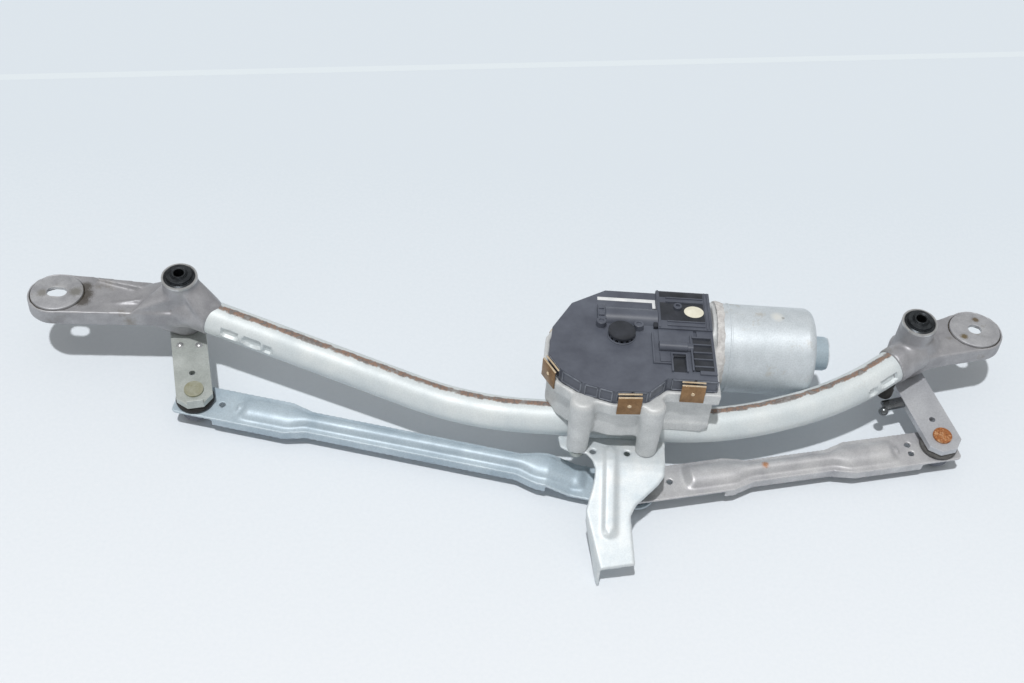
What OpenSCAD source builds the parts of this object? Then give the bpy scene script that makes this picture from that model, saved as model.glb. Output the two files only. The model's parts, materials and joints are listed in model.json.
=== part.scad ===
// Vehicle wiper linkage: a bent tube frame with two cast pivot housings, a geared
// motor with its crank, and two rods that turn the wiper spindles together.
// It lies on the ground plane with its spindles upright; the motor leans back.

/* [Layout] */
// Distance between the two wiper spindles
spindle_span = 480; // [460:1:500]
// Spindle line, behind the middle of the part
spindle_y = 65; // [60:1:70]
// Middle of the spindle line, to the right of the middle of the part
spindle_mid_x = 17; // [10:1:24]
// Motor shaft, behind the middle of the part
shaft_y = 20; // [16:1:24]
// Motor shaft, to the right of the middle of the part
shaft_x = 58; // [50:1:66]
// Lean of the motor shaft
motor_tilt = 7; // [4:0.5:8]

/* [Levers and crank] */
// Left lever, spindle axis to ball
left_lever_len = 57; // [52:0.5:60]
// Direction of the left lever
left_lever_dir = -76; // [-82:1:-70]
// Right lever, spindle axis to ball
right_lever_len = 60; // [55:0.5:64]
// Direction of the right lever
right_lever_dir = -72; // [-78:1:-66]
// Crank, shaft axis to rod pin
crank_len = 60; // [56:0.5:63]
// Direction of the crank
crank_dir = -73; // [-80:1:-66]
// Swing of the crank to each side
crank_swing = 40; // [30:1:42]
// Thickness of the levers
lever_t = 4.5; // [3.5:0.1:5.5]
// Half width of a lever
lever_half_w = 11.5; // [10:0.5:12.5]
// Thickness of the crank
crank_t = 5; // [4:0.1:6]
// Radius of the round crank ends
crank_r = 12; // [10:0.5:13]

/* [Ball joints] */
// Radius of the ball on each lever
ball_r = 6; // [5:0.1:6.3]
// Height of the ball centres
ball_z = 11; // [10:0.5:13]
// Radius of the ball neck
neck_r = 3.6; // [3:0.1:4]
// Outer radius of a plastic ball socket
socket_r = 9.5; // [8.8:0.1:10]
// Radius of the rod pin on the crank
pin_r = 4; // [3.5:0.1:4.5]
// Play between the rod pin and the rod bushes
pin_play = 1.8; // [1.5:0.1:2.2]
// Height of a rod bush on the crank pin
eye_h = 5; // [4:0.5:6]

/* [Rods] */
// Half width of a rod at its broad ends
rod_half_w = 12.5; // [12:0.5:14]
// Half width of a rod at its waist
rod_waist = 8.5; // [7:0.5:10]
// Length of a broad rod end
rod_end_len = 62; // [55:1:70]
// Sheet thickness of the rods
rod_t = 2; // [1.5:0.1:2.5]
// Depth of the turned-down rod edges
rod_edge = 7; // [5:0.5:8]

/* [Frame tube] */
// Outer radius of the frame tube
tube_r = 11; // [10:0.1:11.3]
// Wall of the frame tube
tube_wall = 1.5; // [1:0.1:2.5]
// Height of the tube axis along its middle
tube_mid_z = 34; // [33.5:0.1:34.4]
// Height of the tube axis at its ends
tube_end_z = 44; // [42:0.5:47]
// Bend radius of the tube
tube_bend = 230; // [150:5:250]

/* [Pivot housings] */
// Outer radius of a spindle barrel
barrel_r = 11.5; // [11:0.1:13]
// Height of the barrel rims
barrel_top = 70; // [66:1:76]
// Radius of the spindles
spindle_r = 6; // [5:0.1:6.4]
// How far the spindles stand out of the barrels
spindle_out = 2.5; // [2:0.5:6]
// Outer radius of the mounting ears
ear_r = 19; // [17:0.5:21]
// Thickness of the mounting ears
ear_t = 11; // [9:0.5:13]
// Left ear, sideways from its spindle
left_ear_dx = -82; // [-90:1:-74]
// Left ear, behind its spindle
left_ear_dy = 0; // [-4:1:6]
// Left ear, height of its top
left_ear_z = 47; // [43:1:51]
// Right ear, sideways from its spindle
right_ear_dx = 48; // [44:1:54]
// Right ear, behind its spindle
right_ear_dy = 20; // [14:1:26]
// Right ear, height of its top
right_ear_z = 43; // [40:1:47]
// Half width of the screw holes in the ears
ear_hole_r = 4.5; // [3.5:0.1:5.5]

/* [Gear motor] */
// Left reach of the gear housing from the crank shaft
gear_house_r = 46; // [45:0.5:47]
// Height of the gear housing
gear_house_h = 24.4; // [22:0.2:28]
// Height of the plastic cover
cover_h = 14; // [11:0.5:17]
// Motor axis, behind the crank shaft
worm_y = 32; // [31.5:0.1:33]
// Radius of the motor can
can_r = 29; // [26:0.5:29]
// Length of the motor can
can_len = 65; // [58:1:68]
// Radius of the output shaft
shaft_r = 5; // [4.5:0.1:6]

/* [Support bracket] */
// Upper face of the bracket plate above the crank
bracket_z = 13; // [12:0.5:15]
// Sheet thickness of the bracket
bracket_t = 2; // [1.5:0.1:2.5]
// Width of the bracket plate
bracket_w = 68; // [64:1:72]
// Reach of the bracket foot from the crank shaft
bracket_reach = 117; // [112:1:120]

/* [Hidden] */
$fn = 64;

// Share of the end radii that a strap's straight sides start from
strap_inset = 0.99;

// Running, seating and free clearances
run = 0.04;
seat = 0.02;
gap = 0.3;

// Plan positions of the spindles and their balls
left_pivot = [spindle_mid_x - spindle_span / 2, spindle_y];
right_pivot = [spindle_mid_x + spindle_span / 2, spindle_y];
left_ball = left_pivot + left_lever_len * [cos(left_lever_dir), sin(left_lever_dir)];
right_ball = right_pivot + right_lever_len * [cos(right_lever_dir), sin(right_lever_dir)];

// Heights of the ball joints, rods and levers
socket_floor = 1.4;
socket_lip = 1.4;
socket_z = ball_z - ball_r - run - socket_floor;
rod_top = ball_z + 3;
socket_top = rod_top + socket_lip;
seal_h = 3.8;
lever_z = socket_top + seal_h + gap;
lever_top = lever_z + lever_t;
rivet_h = 1.4;
shank_r = 4;

// Heights at the crank pin: left rod lowest, then the right rod, then the crank
eye_gap = 0.6;
eye_r = 8;
right_eye_z = rod_top - rod_t / 2 - eye_h / 2;
left_eye_z = right_eye_z - eye_gap - eye_h;
rod_step = eye_h + eye_gap;
pin_fall = crank_len * sin(motor_tilt) * (sin(-crank_dir) - sin(-crank_dir - crank_swing));
pin_z = right_eye_z + eye_h + pin_fall + rod_half_w * tan(motor_tilt) + gap + crank_t / 2;
crank_z = pin_z + crank_len * sin(crank_dir) * sin(motor_tilt);
pin_xy = [shaft_x, shaft_y]
    + crank_len * [cos(crank_dir), sin(crank_dir) * cos(motor_tilt)];
left_pin = pin_xy - [0, (pin_z - left_eye_z - eye_h / 2) * tan(motor_tilt)];
right_pin = pin_xy - [0, (pin_z - right_eye_z - eye_h / 2) * tan(motor_tilt)];

// Frame tube path, from the left housing to the right one
tube_in_r = tube_r - tube_wall;
tube_left = [left_pivot.x + 18, spindle_y - 9.5, tube_end_z];
tube_right = [right_pivot.x - 9, spindle_y - 13, tube_end_z];
left_corner = [-91, -22.5];
right_corner = [69, -24];
last_corner = [-50, -42.5];
last_rise = 4;
tube_path = [tube_left, [shaft_x + left_corner.x, shaft_y + left_corner.y, tube_mid_z],
    [shaft_x + right_corner.x, shaft_y + right_corner.y, tube_mid_z],
    [right_pivot.x + last_corner.x, spindle_y + last_corner.y, tube_mid_z + last_rise], tube_right];
bend_steps = 8;
spigot_len = 13;

// Spindle barrels
barrel_z = lever_top + gap;
bush_r = spindle_r + 2;
bush_len = 12;
rim_r = barrel_r - 1.1;
head_r = 8.2;
rim_depth = 6;
clip_h = 1.2;
thread_r = 3.4;
thread_depth = 16;

// Mounting ears
left_ear = left_pivot + [left_ear_dx, left_ear_dy];
right_ear = right_pivot + [right_ear_dx, right_ear_dy];
ear_ring_r = ear_r - 1.6;
ear_disc_r = ear_ring_r - 1.4;
disc_rise = 0.8;
ear_slot = 4;
web_t = 2.4;
left_web_h = 10;
right_web_h = 9;
left_swell = 20;
right_swell = 12;
web_turn = [-14, 9];
swell_r = 13;
swell_top = 57;

// Gear housing and cover, in the leaning frame of the crank shaft
house_z = 25.6;
house_top = house_z + gear_house_h;
house_right = 62;
house_front = -37;
house_back = 46;
house_corners = [[house_right, house_back], [-8, house_back], [-31, 31], [-44, 6],
    [-gear_house_r, -20], [-38, -34], [-24, -45], [-4, -51], [18, -49.5], [30, house_front],
    [house_right, house_front]];
house_floor = 2.2;
house_wall = 2.6;
ledge = 2.5;
ledge_h = 4;
gasket_h = 1;
cover_z = house_top + gasket_h;
cover_top = cover_z + cover_h;
leg_r = 6.6;
leg_top_r = 7.9;
leg_y = -47;
leg_xy = [[-22, leg_y], [21, leg_y]];
screw_r = 2.5;
screw_len = 12;
screw_head_r = 4.5;
screw_head_h = 3;
clip_t = 1;
clip_hold = 2.1;
clip_play = 0.1;
clip_w = 13;
clip_seats = [[5.5, -50.35, 4], [45, house_front, 0], [-42, -27, -60], [-37.5, 18.5, -117.5],
    [-19.5, 38.5, -147], [44, house_back, 180]];
worm_z = house_z + 6;
worm_r = 5;
wheel_r = worm_y - worm_r - gap;
wheel_t = 5.6;
rotor_shaft_r = 4;
neck_wall = 3.6;
neck_z = crank_t / 2 + 1;
nut_h = 6.5;
nut_r = 7.5;
saddle_x = [-30, 20];
saddle_y = [-24, -10];
saddle_w = 12;
motor_neck_r = 17.6;
worm_bore_r = worm_r + 1.5;

// Motor can, along x from the flange
flange_t = 3;
can_x = house_right + flange_t + gap;
can_wall = 2;
can_round = 6;
nose_r = 10.5;
nose_len = 12;
bearing_r = 7;
magnet_t = 3.5;
magnet_z = 14;
magnet_len = can_len - 24;
brush_r = 12;
commutator_r = 10;
commutator_h = 8;

// Bracket plate and its sloping tongue
plate_back = -38;
plate_front = -57;
tongue_slope = 25;
foot_right = 15.5;
foot_w = 21.5;
flange_start = [-16, -86.5];
flange_end = [foot_right - foot_w, -bracket_reach - 2.5];
flange_lean = 3;
flange_drop = 14.19;
bracket_corners = [[-bracket_w / 2, plate_back], [bracket_w / 2, plate_back],
    [bracket_w / 2 - 1, -64], [29.5, -69], [15.5, -82], [12.3, -88], [foot_right, -bracket_reach + 1.5],
    flange_end, flange_start, [-11.5, -70.5], [-10.6, -62], [-12.7, -56], [-16.6, -51.5],
    [-27.5, -50.5], [1.5 - bracket_w / 2, -47.5]];
bend_ease = 5;
bend_drop = 0.55;
bead_r = 4;
bead_rise = 1.8;
pilot_r = 2;
pilot_back = 14;
pilot_xy = [[-12, -50], [9.5, -50]];

// Distance down the rod pin from the crank's middle to the left rod's bush
pin_reach = (pin_z - left_eye_z) / cos(motor_tilt) + eye_r * tan(motor_tilt) + gap;

// Helper shapes

// A round-ended strap from the origin along x, in plan
module strap2d(len, r1, r2) {
    a = acos((r1 - r2) / len);
    circle(r1);
    translate([len, 0])
        circle(r2);
    side = strap_inset * [cos(a), sin(a)];
    polygon([r1 * side, r1 * [side.x, -side.y],
        [len, 0] + r2 * [side.x, -side.y], [len, 0] + r2 * side]);
}

// A strap of height h from plan point p to plan point q
module strap(p, q, r1, r2, h) {
    translate([p.x, p.y, 0])
        rotate([0, 0, atan2(q.y - p.y, q.x - p.x)])
            linear_extrude(h)
                strap2d(norm(q - p), r1, r2);
}

// A flat ring
module ring(r_out, r_in, h) {
    linear_extrude(h)
        difference() {
            circle(r_out);
            circle(r_in);
        }
}

// A half-round ridge along x, standing rise above z = 0
module ridge(len, r, rise) {
    rotate([90, 0, 90])
        linear_extrude(len)
            intersection() {
                translate([0, rise - r])
                    circle(r);
                translate([-r, -rod_t / 2])
                    square([2 * r, rise + rod_t]);
            }
}

function unit(v) = v / norm(v);

// Turns z to direction d
module aim(d) {
    rotate([0, acos(d.z / norm(d)), atan2(d.y, d.x)])
        children();
}

// Turn of a path at its corner i
function corner_turn(path, i) = acos(unit(path[i] - path[i - 1]) * unit(path[i + 1] - path[i]));

// Bend radius at corner i: r, or what half of the shorter run beside it leaves room for
function corner_r(path, i, r) =
    min(r, min(norm(path[i] - path[i - 1]), norm(path[i + 1] - path[i])) / 2
        / tan(corner_turn(path, i) / 2));

// Stations [point, direction] along straight runs joined by round bends of radius bend_r
function bend_stations(path, bend_r, steps) = concat(
    [[path[0], unit(path[1] - path[0])]],
    [for (i = [1 : len(path) - 2])
        let (d = unit(path[i] - path[i - 1]),
            e = unit(path[i + 1] - path[i]),
            turn = corner_turn(path, i),
            r = corner_r(path, i, bend_r),
            n = unit(e - d * (d * e)),
            centre = path[i] - d * r * tan(turn / 2) + n * r)
        for (k = [0 : steps])
            let (t = turn * k / steps)
                [centre + r * (d * sin(t) - n * cos(t)), d * cos(t) + n * sin(t)]],
    [let (last = len(path) - 1) [path[last], unit(path[last] - path[last - 1])]]);

// A ring of points round a station
function station_ring(station, r, sides) =
    let (side = unit(cross([0, 0, 1], station[1])), up = cross(station[1], side))
        [for (k = [0 : sides - 1])
            station[0] + r * (side * cos(360 * k / sides) + up * sin(360 * k / sides))];

// A hollow round tube along the stations
module swept_tube(stations, r_out, r_in, sides) {
    rings = len(stations);
    inner = rings * sides;
    points = concat(
        [for (st = stations) each station_ring(st, r_out, sides)],
        [for (st = stations) each station_ring(st, r_in / cos(180 / sides), sides)]);
    walls = [for (i = [0 : rings - 2], k = [0 : sides - 1])
        let (a = i * sides + k, b = i * sides + (k + 1) % sides)
            each [[a, a + sides, b + sides, b],
                [inner + a, inner + b, inner + b + sides, inner + a + sides]]];
    ends = [for (k = [0 : sides - 1])
        let (b = (k + 1) % sides, last = (rings - 1) * sides)
            each [[k, b, inner + b, inner + k],
                [last + k, inner + last + k, inner + last + b, last + b]]];
    polyhedron(points, concat(walls, ends));
}

// The leaning frame of the crank shaft
module motor_frame() {
    translate([shaft_x, shaft_y, crank_z])
        rotate([-motor_tilt, 0, 0])
            children();
}

// The motor's own axis, z along it from the flange
module can_frame() {
    motor_frame()
        translate([can_x, worm_y, worm_z])
            rotate([0, 90, 0])
                children();
}

// The leaning top face of an ear
module ear_frame(ear, z) {
    translate([ear.x, ear.y, z])
        rotate([-motor_tilt, 0, 0])
            children();
}

// A rod's frame: x from the ball to the crank pin
module rod_frame(ball, pin) {
    translate([ball.x, ball.y, 0])
        rotate([0, 0, atan2(pin.y - ball.y, pin.x - ball.x)])
            children();
}

// Frame tube and pivot housings

module frame_tube() {
    color("gainsboro")
        swept_tube(bend_stations(tube_path, tube_bend, bend_steps), tube_r, tube_in_r, 32);
}

// The tube's straight middle run as a solid, for what is fitted round it
module tube_run(r) {
    translate(tube_path[1])
        aim(tube_path[2] - tube_path[1])
            cylinder(r = r, h = norm(tube_path[2] - tube_path[1]));
}

// The tube's bend at corner i of its path as a solid of radius r, for what is fitted round it
module tube_turn(i, r) {
    d = unit(tube_path[i] - tube_path[i - 1]);
    e = unit(tube_path[i + 1] - tube_path[i]);
    n = unit(e - d * (d * e));
    axis = cross(d, n);
    turn = corner_turn(tube_path, i);
    bend_r = corner_r(tube_path, i, tube_bend);
    lean = acos(axis.z);
    heading = atan2(axis.y, axis.x);
    local_x = [cos(heading) * cos(lean), sin(heading) * cos(lean), -sin(lean)];
    local_y = [-sin(heading), cos(heading), 0];
    translate(tube_path[i] - d * bend_r * tan(turn / 2) + n * bend_r)
        aim(axis)
            rotate([0, 0, atan2(-n * local_y, -n * local_x)])
                rotate_extrude(angle = turn)
                    translate([bend_r, 0])
                        circle(r);
}

// Shoulder against the tube's end and the spigot inside the tube
module tube_spigot(pivot, tube_end, dir) {
    shoulder = norm([tube_end.x - pivot.x, tube_end.y - pivot.y]);
    translate(tube_end - dir * shoulder)
        aim(dir)
            cylinder(r = tube_r + 0.8, h = shoulder);
    translate(tube_end - dir)
        aim(dir)
            cylinder(r = tube_in_r - seat, h = spigot_len + 1);
}

// Flat ear arm with its round end, a swelling towards the barrel and two upright webs
module ear_arm(pivot, ear, top, root_r, swell, web_h) {
    reach = norm(ear - pivot);
    along = (ear - pivot) / reach;
    ear_frame(ear, top)
        translate([0, 0, -ear_t])
            strap([0, 0], pivot - ear, ear_r, root_r, ear_t);
    hull() {
        translate([pivot.x, pivot.y, barrel_z])
            cylinder(r = barrel_r - gap, h = swell_top - barrel_z);
        translate([pivot.x + along.x * swell, pivot.y + along.y * swell, top - ear_t])
            cylinder(r = swell_r, h = ear_t - gap);
    }
    for (turn = web_turn)
        translate([pivot.x, pivot.y, top - ear_t / 2])
            rotate([0, 0, atan2(along.y, along.x) + turn])
                rotate([90, 0, 0])
                    translate([0, 0, -web_t / 2])
                        linear_extrude(web_t)
                            polygon([[0, 0], [reach - ear_r - web_t, 0],
                                [reach - ear_r - web_t, ear_t / 2], [barrel_r, web_h], [0, web_h]]);
}

// Barrel, ear arm and tube spigot in one casting, bored for the bushes and the ear ring
module pivot_housing(pivot, ear, top, root_r, swell, web_h, tube_end, dir) {
    color("darkgray")
        difference() {
            union() {
                translate([pivot.x, pivot.y, barrel_z])
                    cylinder(r = barrel_r, h = barrel_top - barrel_z);
                ear_arm(pivot, ear, top, root_r, swell, web_h);
                tube_spigot(pivot, tube_end, dir);
            }
            translate([pivot.x, pivot.y, barrel_z - ear_t]) {
                cylinder(r = bush_r + seat, h = barrel_top);
                cylinder(r = 2 * barrel_r, h = ear_t);
            }
            translate([pivot.x, pivot.y, barrel_top - rim_depth])
                cylinder(r = rim_r, h = 2 * rim_depth);
            ear_frame(ear, top)
                translate([0, 0, -2 * ear_t])
                    cylinder(r = ear_ring_r + seat, h = 4 * ear_t);
        }
}

module left_pivot_housing() {
    pivot_housing(left_pivot, left_ear, left_ear_z, barrel_r + 3, left_swell, left_web_h,
        tube_left, unit(tube_path[1] - tube_path[0]));
}

module right_pivot_housing() {
    pivot_housing(right_pivot, right_ear, right_ear_z, barrel_r + 2, right_swell, right_web_h,
        tube_right, unit(tube_path[3] - tube_path[4]));
}

// Rubber ring that holds the metal disc in each ear
module ear_ring(ear, top) {
    color("dimgray")
        ear_frame(ear, top)
            translate([0, 0, -ear_t])
                ring(ear_ring_r, ear_disc_r + seat, ear_t - gasket_h);
}

module left_ear_ring() {
    ear_ring(left_ear, left_ear_z);
}

module right_ear_ring() {
    ear_ring(right_ear, right_ear_z);
}

// Metal disc with a slot for the left screw
module left_ear_disc() {
    color("silver")
        ear_frame(left_ear, left_ear_z)
            translate([0, 0, disc_rise - ear_t - gasket_h])
                linear_extrude(ear_t + gasket_h)
                    difference() {
                        circle(ear_disc_r);
                        for (x = [-ear_slot / 2, ear_slot / 2])
                            translate([x, 0])
                                circle(ear_hole_r);
                        square([ear_slot, 2 * ear_hole_r], center = true);
                    }
}

// Metal disc with a round hole for the right screw
module right_ear_disc() {
    color("silver")
        ear_frame(right_ear, right_ear_z)
            translate([0, 0, disc_rise - ear_t - gasket_h])
                ring(ear_disc_r, ear_hole_r, ear_t + gasket_h);
}

// Two sintered bushes in each barrel
module spindle_bushes(pivot) {
    color("peru")
        for (z = [barrel_z, barrel_top - rim_depth - bush_len])
            translate([pivot.x, pivot.y, z])
                ring(bush_r, spindle_r + run, bush_len);
}

module left_spindle_bushes() {
    spindle_bushes(left_pivot);
}

module right_spindle_bushes() {
    spindle_bushes(right_pivot);
}

// Rubber ring seated in the barrel rim, below the spindle clip
module rim_seal(pivot) {
    color("black")
        translate([pivot.x, pivot.y, barrel_top - rim_depth])
            ring(rim_r - seat, spindle_r + gap, rim_depth - 2 * clip_h - 2 * gap);
}

module left_rim_seal() {
    rim_seal(left_pivot);
}

module right_rim_seal() {
    rim_seal(right_pivot);
}

// Ball-tipped rubber buffer bonded under the right end of the tube
module rubber_buffer() {
    buffer_r = 4;
    dir = unit(tube_path[3] - tube_right);
    foot = tube_right + dir * 12;
    buffer_z = lever_top + rivet_h + gap;
    color("black")
        difference() {
            translate([foot.x, foot.y, buffer_z + buffer_r]) {
                sphere(r = buffer_r);
                cylinder(r = buffer_r, h = foot.z - buffer_z - buffer_r);
            }
            translate(tube_right)
                aim(dir)
                    cylinder(r = tube_r + seat, h = 3 * spigot_len);
        }
}

// Gear housing, cover and motor

// Outline of the gear housing, pulled in by inset
module house2d(inset) {
    offset(delta = -inset)
        polygon(house_corners);
}

// Wall that hangs from the housing's front right side, over the tube
module house_lobe() {
    low = house_z - 5;
    high = house_z + house_floor;
    translate([0, house_front + ledge + house_floor, 0])
        rotate([90, 0, 0])
            linear_extrude(house_floor + 1)
                polygon([[28, high], [house_right - ledge, high], [house_right - ledge, low + 4],
                    [house_right - ledge - 4, low], [30, low]]);
}

// Cast housing with two front legs, tube saddles, shaft neck and motor flange
module gear_housing() {
    color("silver")
        difference() {
            motor_frame()
                difference() {
                    union() {
                        translate([0, 0, house_z])
                            linear_extrude(gear_house_h)
                                house2d(ledge);
                        translate([0, 0, house_top - ledge_h])
                            linear_extrude(ledge_h)
                                house2d(0);
                        for (p = leg_xy)
                            translate([p.x, p.y, bracket_z])
                                cylinder(r1 = leg_r, r2 = leg_top_r, h = house_top - ledge_h - bracket_z);
                        house_lobe();
                        translate([0, 0, neck_z])
                            cylinder(r = shaft_r + neck_wall, h = house_z);
                        for (x = saddle_x)
                            translate([x - saddle_w / 2, saddle_y[0], bracket_z])
                                cube([saddle_w, saddle_y[1] - saddle_y[0],
                                    house_z - bracket_z + house_floor]);
                        translate([-wheel_r - house_wall, worm_y, worm_z])
                            rotate([0, 90, 0])
                                cylinder(r = worm_bore_r + house_floor, h = house_right + wheel_r);
                        translate([house_right - ledge - flange_t, worm_y, worm_z])
                            rotate([0, 90, 0])
                                cylinder(r = motor_neck_r, h = 2 * flange_t + ledge);
                        translate([house_right + gap, worm_y, worm_z])
                            rotate([0, 90, 0])
                                cylinder(r = can_r, h = flange_t);
                    }
                    translate([0, 0, house_z + house_floor])
                        cylinder(r = wheel_r + 1, h = gear_house_h);
                    translate([-wheel_r, worm_y, worm_z])
                        rotate([0, 90, 0])
                            cylinder(r = worm_bore_r, h = 2 * house_right);
                    cylinder(r = shaft_r + 2 + seat, h = house_top);
                    for (p = leg_xy)
                        translate([p.x, p.y, bracket_z - 1])
                            cylinder(r = screw_r + seat, h = screw_len + 1);
                }
            tube_run(tube_r + seat);
            tube_turn(2, tube_r + 2 * run);
        }
}

// Gasket between housing and cover
module cover_gasket() {
    color("black")
        motor_frame()
            translate([0, 0, house_top])
                linear_extrude(gasket_h)
                    difference() {
                        house2d(1);
                        house2d(ledge + house_wall);
                    }
}

// Raised forms on the cover: half-round bar, two posts and the steps of the connector block
module cover_forms() {
    bar_r = 8;
    bar_sunk = 3;
    bar_x = [-8, 25];
    post_r = 3;
    post_h = 4;
    block_x = 25;
    block_w = house_right - ledge - block_x;
    translate([bar_x[0], 19, cover_top - bar_sunk])
        rotate([0, 90, 0])
            cylinder(r = bar_r, h = bar_x[1] - bar_x[0]);
    for (p = [[-11, 9.5], [12.5, 8.5]])
        translate([p.x, p.y, cover_top - 1])
            cylinder(r = post_r, h = post_h + 1);
    translate([block_x, 8, cover_z])
        cube([block_w, house_back - ledge - 8, cover_h + 2.4]);
    translate([block_x, -10, cover_z])
        cube([22, 18, cover_h + 1.2]);
    translate([block_x + 1, -7, cover_top])
        rotate([0, 90, 0])
            cylinder(r = bar_sunk, h = 20);
    translate([block_x + 24, house_front + ledge + 4, cover_z])
        cube([block_w - 24, 42, cover_h + 1.2]);
}

// Plastic cover with a stepped rim and raised forms
module gear_cover() {
    color("darkslategray")
        motor_frame()
            difference() {
                union() {
                    translate([0, 0, cover_z])
                        linear_extrude(ledge_h)
                            house2d(0);
                    translate([0, 0, cover_z])
                        linear_extrude(cover_h)
                            house2d(ledge);
                    cover_forms();
                }
                translate([0, 0, cover_z - 1])
                    linear_extrude(cover_h - house_wall + 1)
                        house2d(ledge + house_wall);
            }
}

// Mushroom-shaped cap on the cover over the output shaft
module cover_cap() {
    cap_r = 8.6;
    cap_neck_r = 7;
    cap_neck_h = 2.8;
    color("black")
        motor_frame()
            translate([0, 3.8, cover_top]) {
                cylinder(r = cap_neck_r, h = cap_neck_h);
                translate([0, 0, cap_neck_h])
                    cylinder(r = cap_r, h = cap_neck_h - 0.4);
            }
}

// One spring clip across the joint of cover and housing, its mouth along y
module spring_clip(w) {
    low = house_top - ledge_h - clip_play;
    high = cover_z + ledge_h + clip_play;
    rotate([90, 0, 90])
        translate([0, 0, -w / 2])
            linear_extrude(w)
                polygon([[clip_hold, low - clip_t], [-clip_play - clip_t, low - clip_t],
                    [-clip_play - clip_t, high + clip_t], [clip_hold, high + clip_t],
                    [clip_hold, high], [-clip_play, high], [-clip_play, low], [clip_hold, low]]);
}

// Spring clips round the joint of cover and housing
module cover_clips() {
    color("peru")
        motor_frame()
            for (seat_at = clip_seats)
                translate([seat_at.x, seat_at.y, 0])
                    rotate([0, 0, seat_at.z])
                        spring_clip(clip_w);
}

// Long bush for the output shaft in the housing's neck
module shaft_bush() {
    color("peru")
        motor_frame()
            translate([0, 0, neck_z])
                ring(shaft_r + 2, shaft_r + run, house_z + house_floor - neck_z);
}

// Deep-drawn can with a rounded end and a bearing nose
module motor_can() {
    in_r = can_r - can_wall;
    edge = [for (a = [0 : 15 : 90]) [can_r - can_round * (1 - cos(a)),
        can_len - can_round * (1 - sin(a))]];
    color("silver")
        can_frame()
            rotate_extrude()
                polygon(concat([[in_r, 0], [can_r, 0]], edge,
                    [[nose_r, can_len], [nose_r, can_len + nose_len], [0, can_len + nose_len],
                        [0, can_len + nose_len - can_wall], [bearing_r + seat, can_len + nose_len - can_wall],
                        [bearing_r + seat, can_len - can_wall], [in_r, can_len - can_wall]]));
}

// Sealing bead round the open end of the can
module can_sealant() {
    color("white")
        can_frame()
            ring(can_r + 1.2, can_r + seat, 3);
}

// Two magnet shells inside the can
module field_magnets() {
    in_r = can_r - can_wall - seat;
    color("dimgray")
        can_frame()
            for (a = [-60, 120])
                rotate([0, 0, a])
                    translate([0, 0, magnet_z])
                        rotate_extrude(angle = 120)
                            translate([in_r - magnet_t, 0])
                                square([magnet_t, magnet_len]);
}

// Insulating plate that carries the brushes at the mouth of the can
module brush_plate() {
    color("saddlebrown")
        can_frame()
            translate([0, 0, gasket_h])
                ring(can_r - can_wall - seat, brush_r, flange_t);
}

// Bearing in the nose of the can
module can_bearing() {
    color("peru")
        can_frame()
            translate([0, 0, can_len - can_wall])
                ring(bearing_r, rotor_shaft_r + run, nose_len - 1);
}

// Flat-headed rivets that hold the tube to its saddles
module saddle_rivets() {
    run_dir = unit(tube_path[2] - tube_path[1]);
    color("gray")
        for (x = saddle_x)
            translate(tube_path[1] + run_dir * (x - tube_path[1].x + shaft_x))
                translate([0, 0, gap - tube_in_r])
                    cylinder(r = pilot_r, h = rivet_h);
}

// Support bracket and its screws

// Height of the bracket's upper face at y
function bracket_face(y) = bracket_z + min(0, y - plate_front) * tan(tongue_slope);

// A layer of the bent bracket sheet between two heights over its upper face, inside an outline
module bracket_layer(low, high, outline) {
    stations = [plate_back + 1, plate_front + bend_ease, plate_front, plate_front - bend_ease,
        -bracket_reach - bend_ease];
    face = [for (y = stations) [y, bracket_face(y) - (y == plate_front ? bend_drop : 0)]];
    under = [for (i = [len(face) - 1 : -1 : 0]) face[i] + [0, low]];
    intersection() {
        rotate([90, 0, 90])
            translate([0, 0, -bracket_w])
                linear_extrude(2 * bracket_w)
                    polygon(concat([for (p = face) p + [0, high]], under));
        translate([0, 0, -bracket_reach])
            linear_extrude(2 * bracket_reach)
                polygon(outline);
    }
}

// Flange turned down along the left edge of the tongue, with the tip the part lies on
module tongue_flange() {
    run_len = norm(flange_end - flange_start);
    drop = bracket_face(flange_start.y) - bracket_face(flange_end.y);
    translate([flange_start.x, flange_start.y, bracket_face(flange_start.y)])
        rotate([0, 0, atan2(flange_end.y - flange_start.y, flange_end.x - flange_start.x)])
            rotate([90 - flange_lean, 0, 0])
                translate([0, 0, -bracket_t])
                    linear_extrude(bracket_t)
                        polygon([[2, -bracket_t], [run_len - 1, -drop - bracket_t / 2],
                            [run_len + 1.5, -drop - flange_drop], [run_len - 2, -drop - flange_drop],
                            [run_len / 2, -drop / 2 - 0.7 * flange_drop], [2, -flange_drop / 2]]);
}

// Pressed bracket: plate under the legs, tongue with a two-step bead, flange and foot
module support_bracket() {
    bead_x = -1;
    bead_y = [plate_back - 6, -bracket_reach + 14];
    color("whitesmoke")
        motor_frame()
            difference() {
                union() {
                    bracket_layer(-bracket_t, 0, bracket_corners);
                    for (step = [1, 2])
                        bracket_layer(-bracket_t / 2, bead_rise * step / 2,
                            [[bead_x, bead_y[0] - step], [bead_x + bead_r + 1 - step, bead_y[0] - 3 * step],
                                [bead_x + bead_r + 1 - step, bead_y[1] + 3 * step], [bead_x, bead_y[1] + step],
                                [bead_x - bead_r - 1 + step, bead_y[1] + 3 * step],
                                [bead_x - bead_r - 1 + step, bead_y[0] - 3 * step]]);
                    tongue_flange();
                }
                for (p = leg_xy)
                    translate([p.x, p.y, 0])
                        cylinder(r = screw_r + gap, h = 2 * bracket_z);
                for (p = pilot_xy)
                    translate([p.x, p.y, 0])
                        cylinder(r = pilot_r, h = 2 * bracket_z);
            }
}

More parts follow.
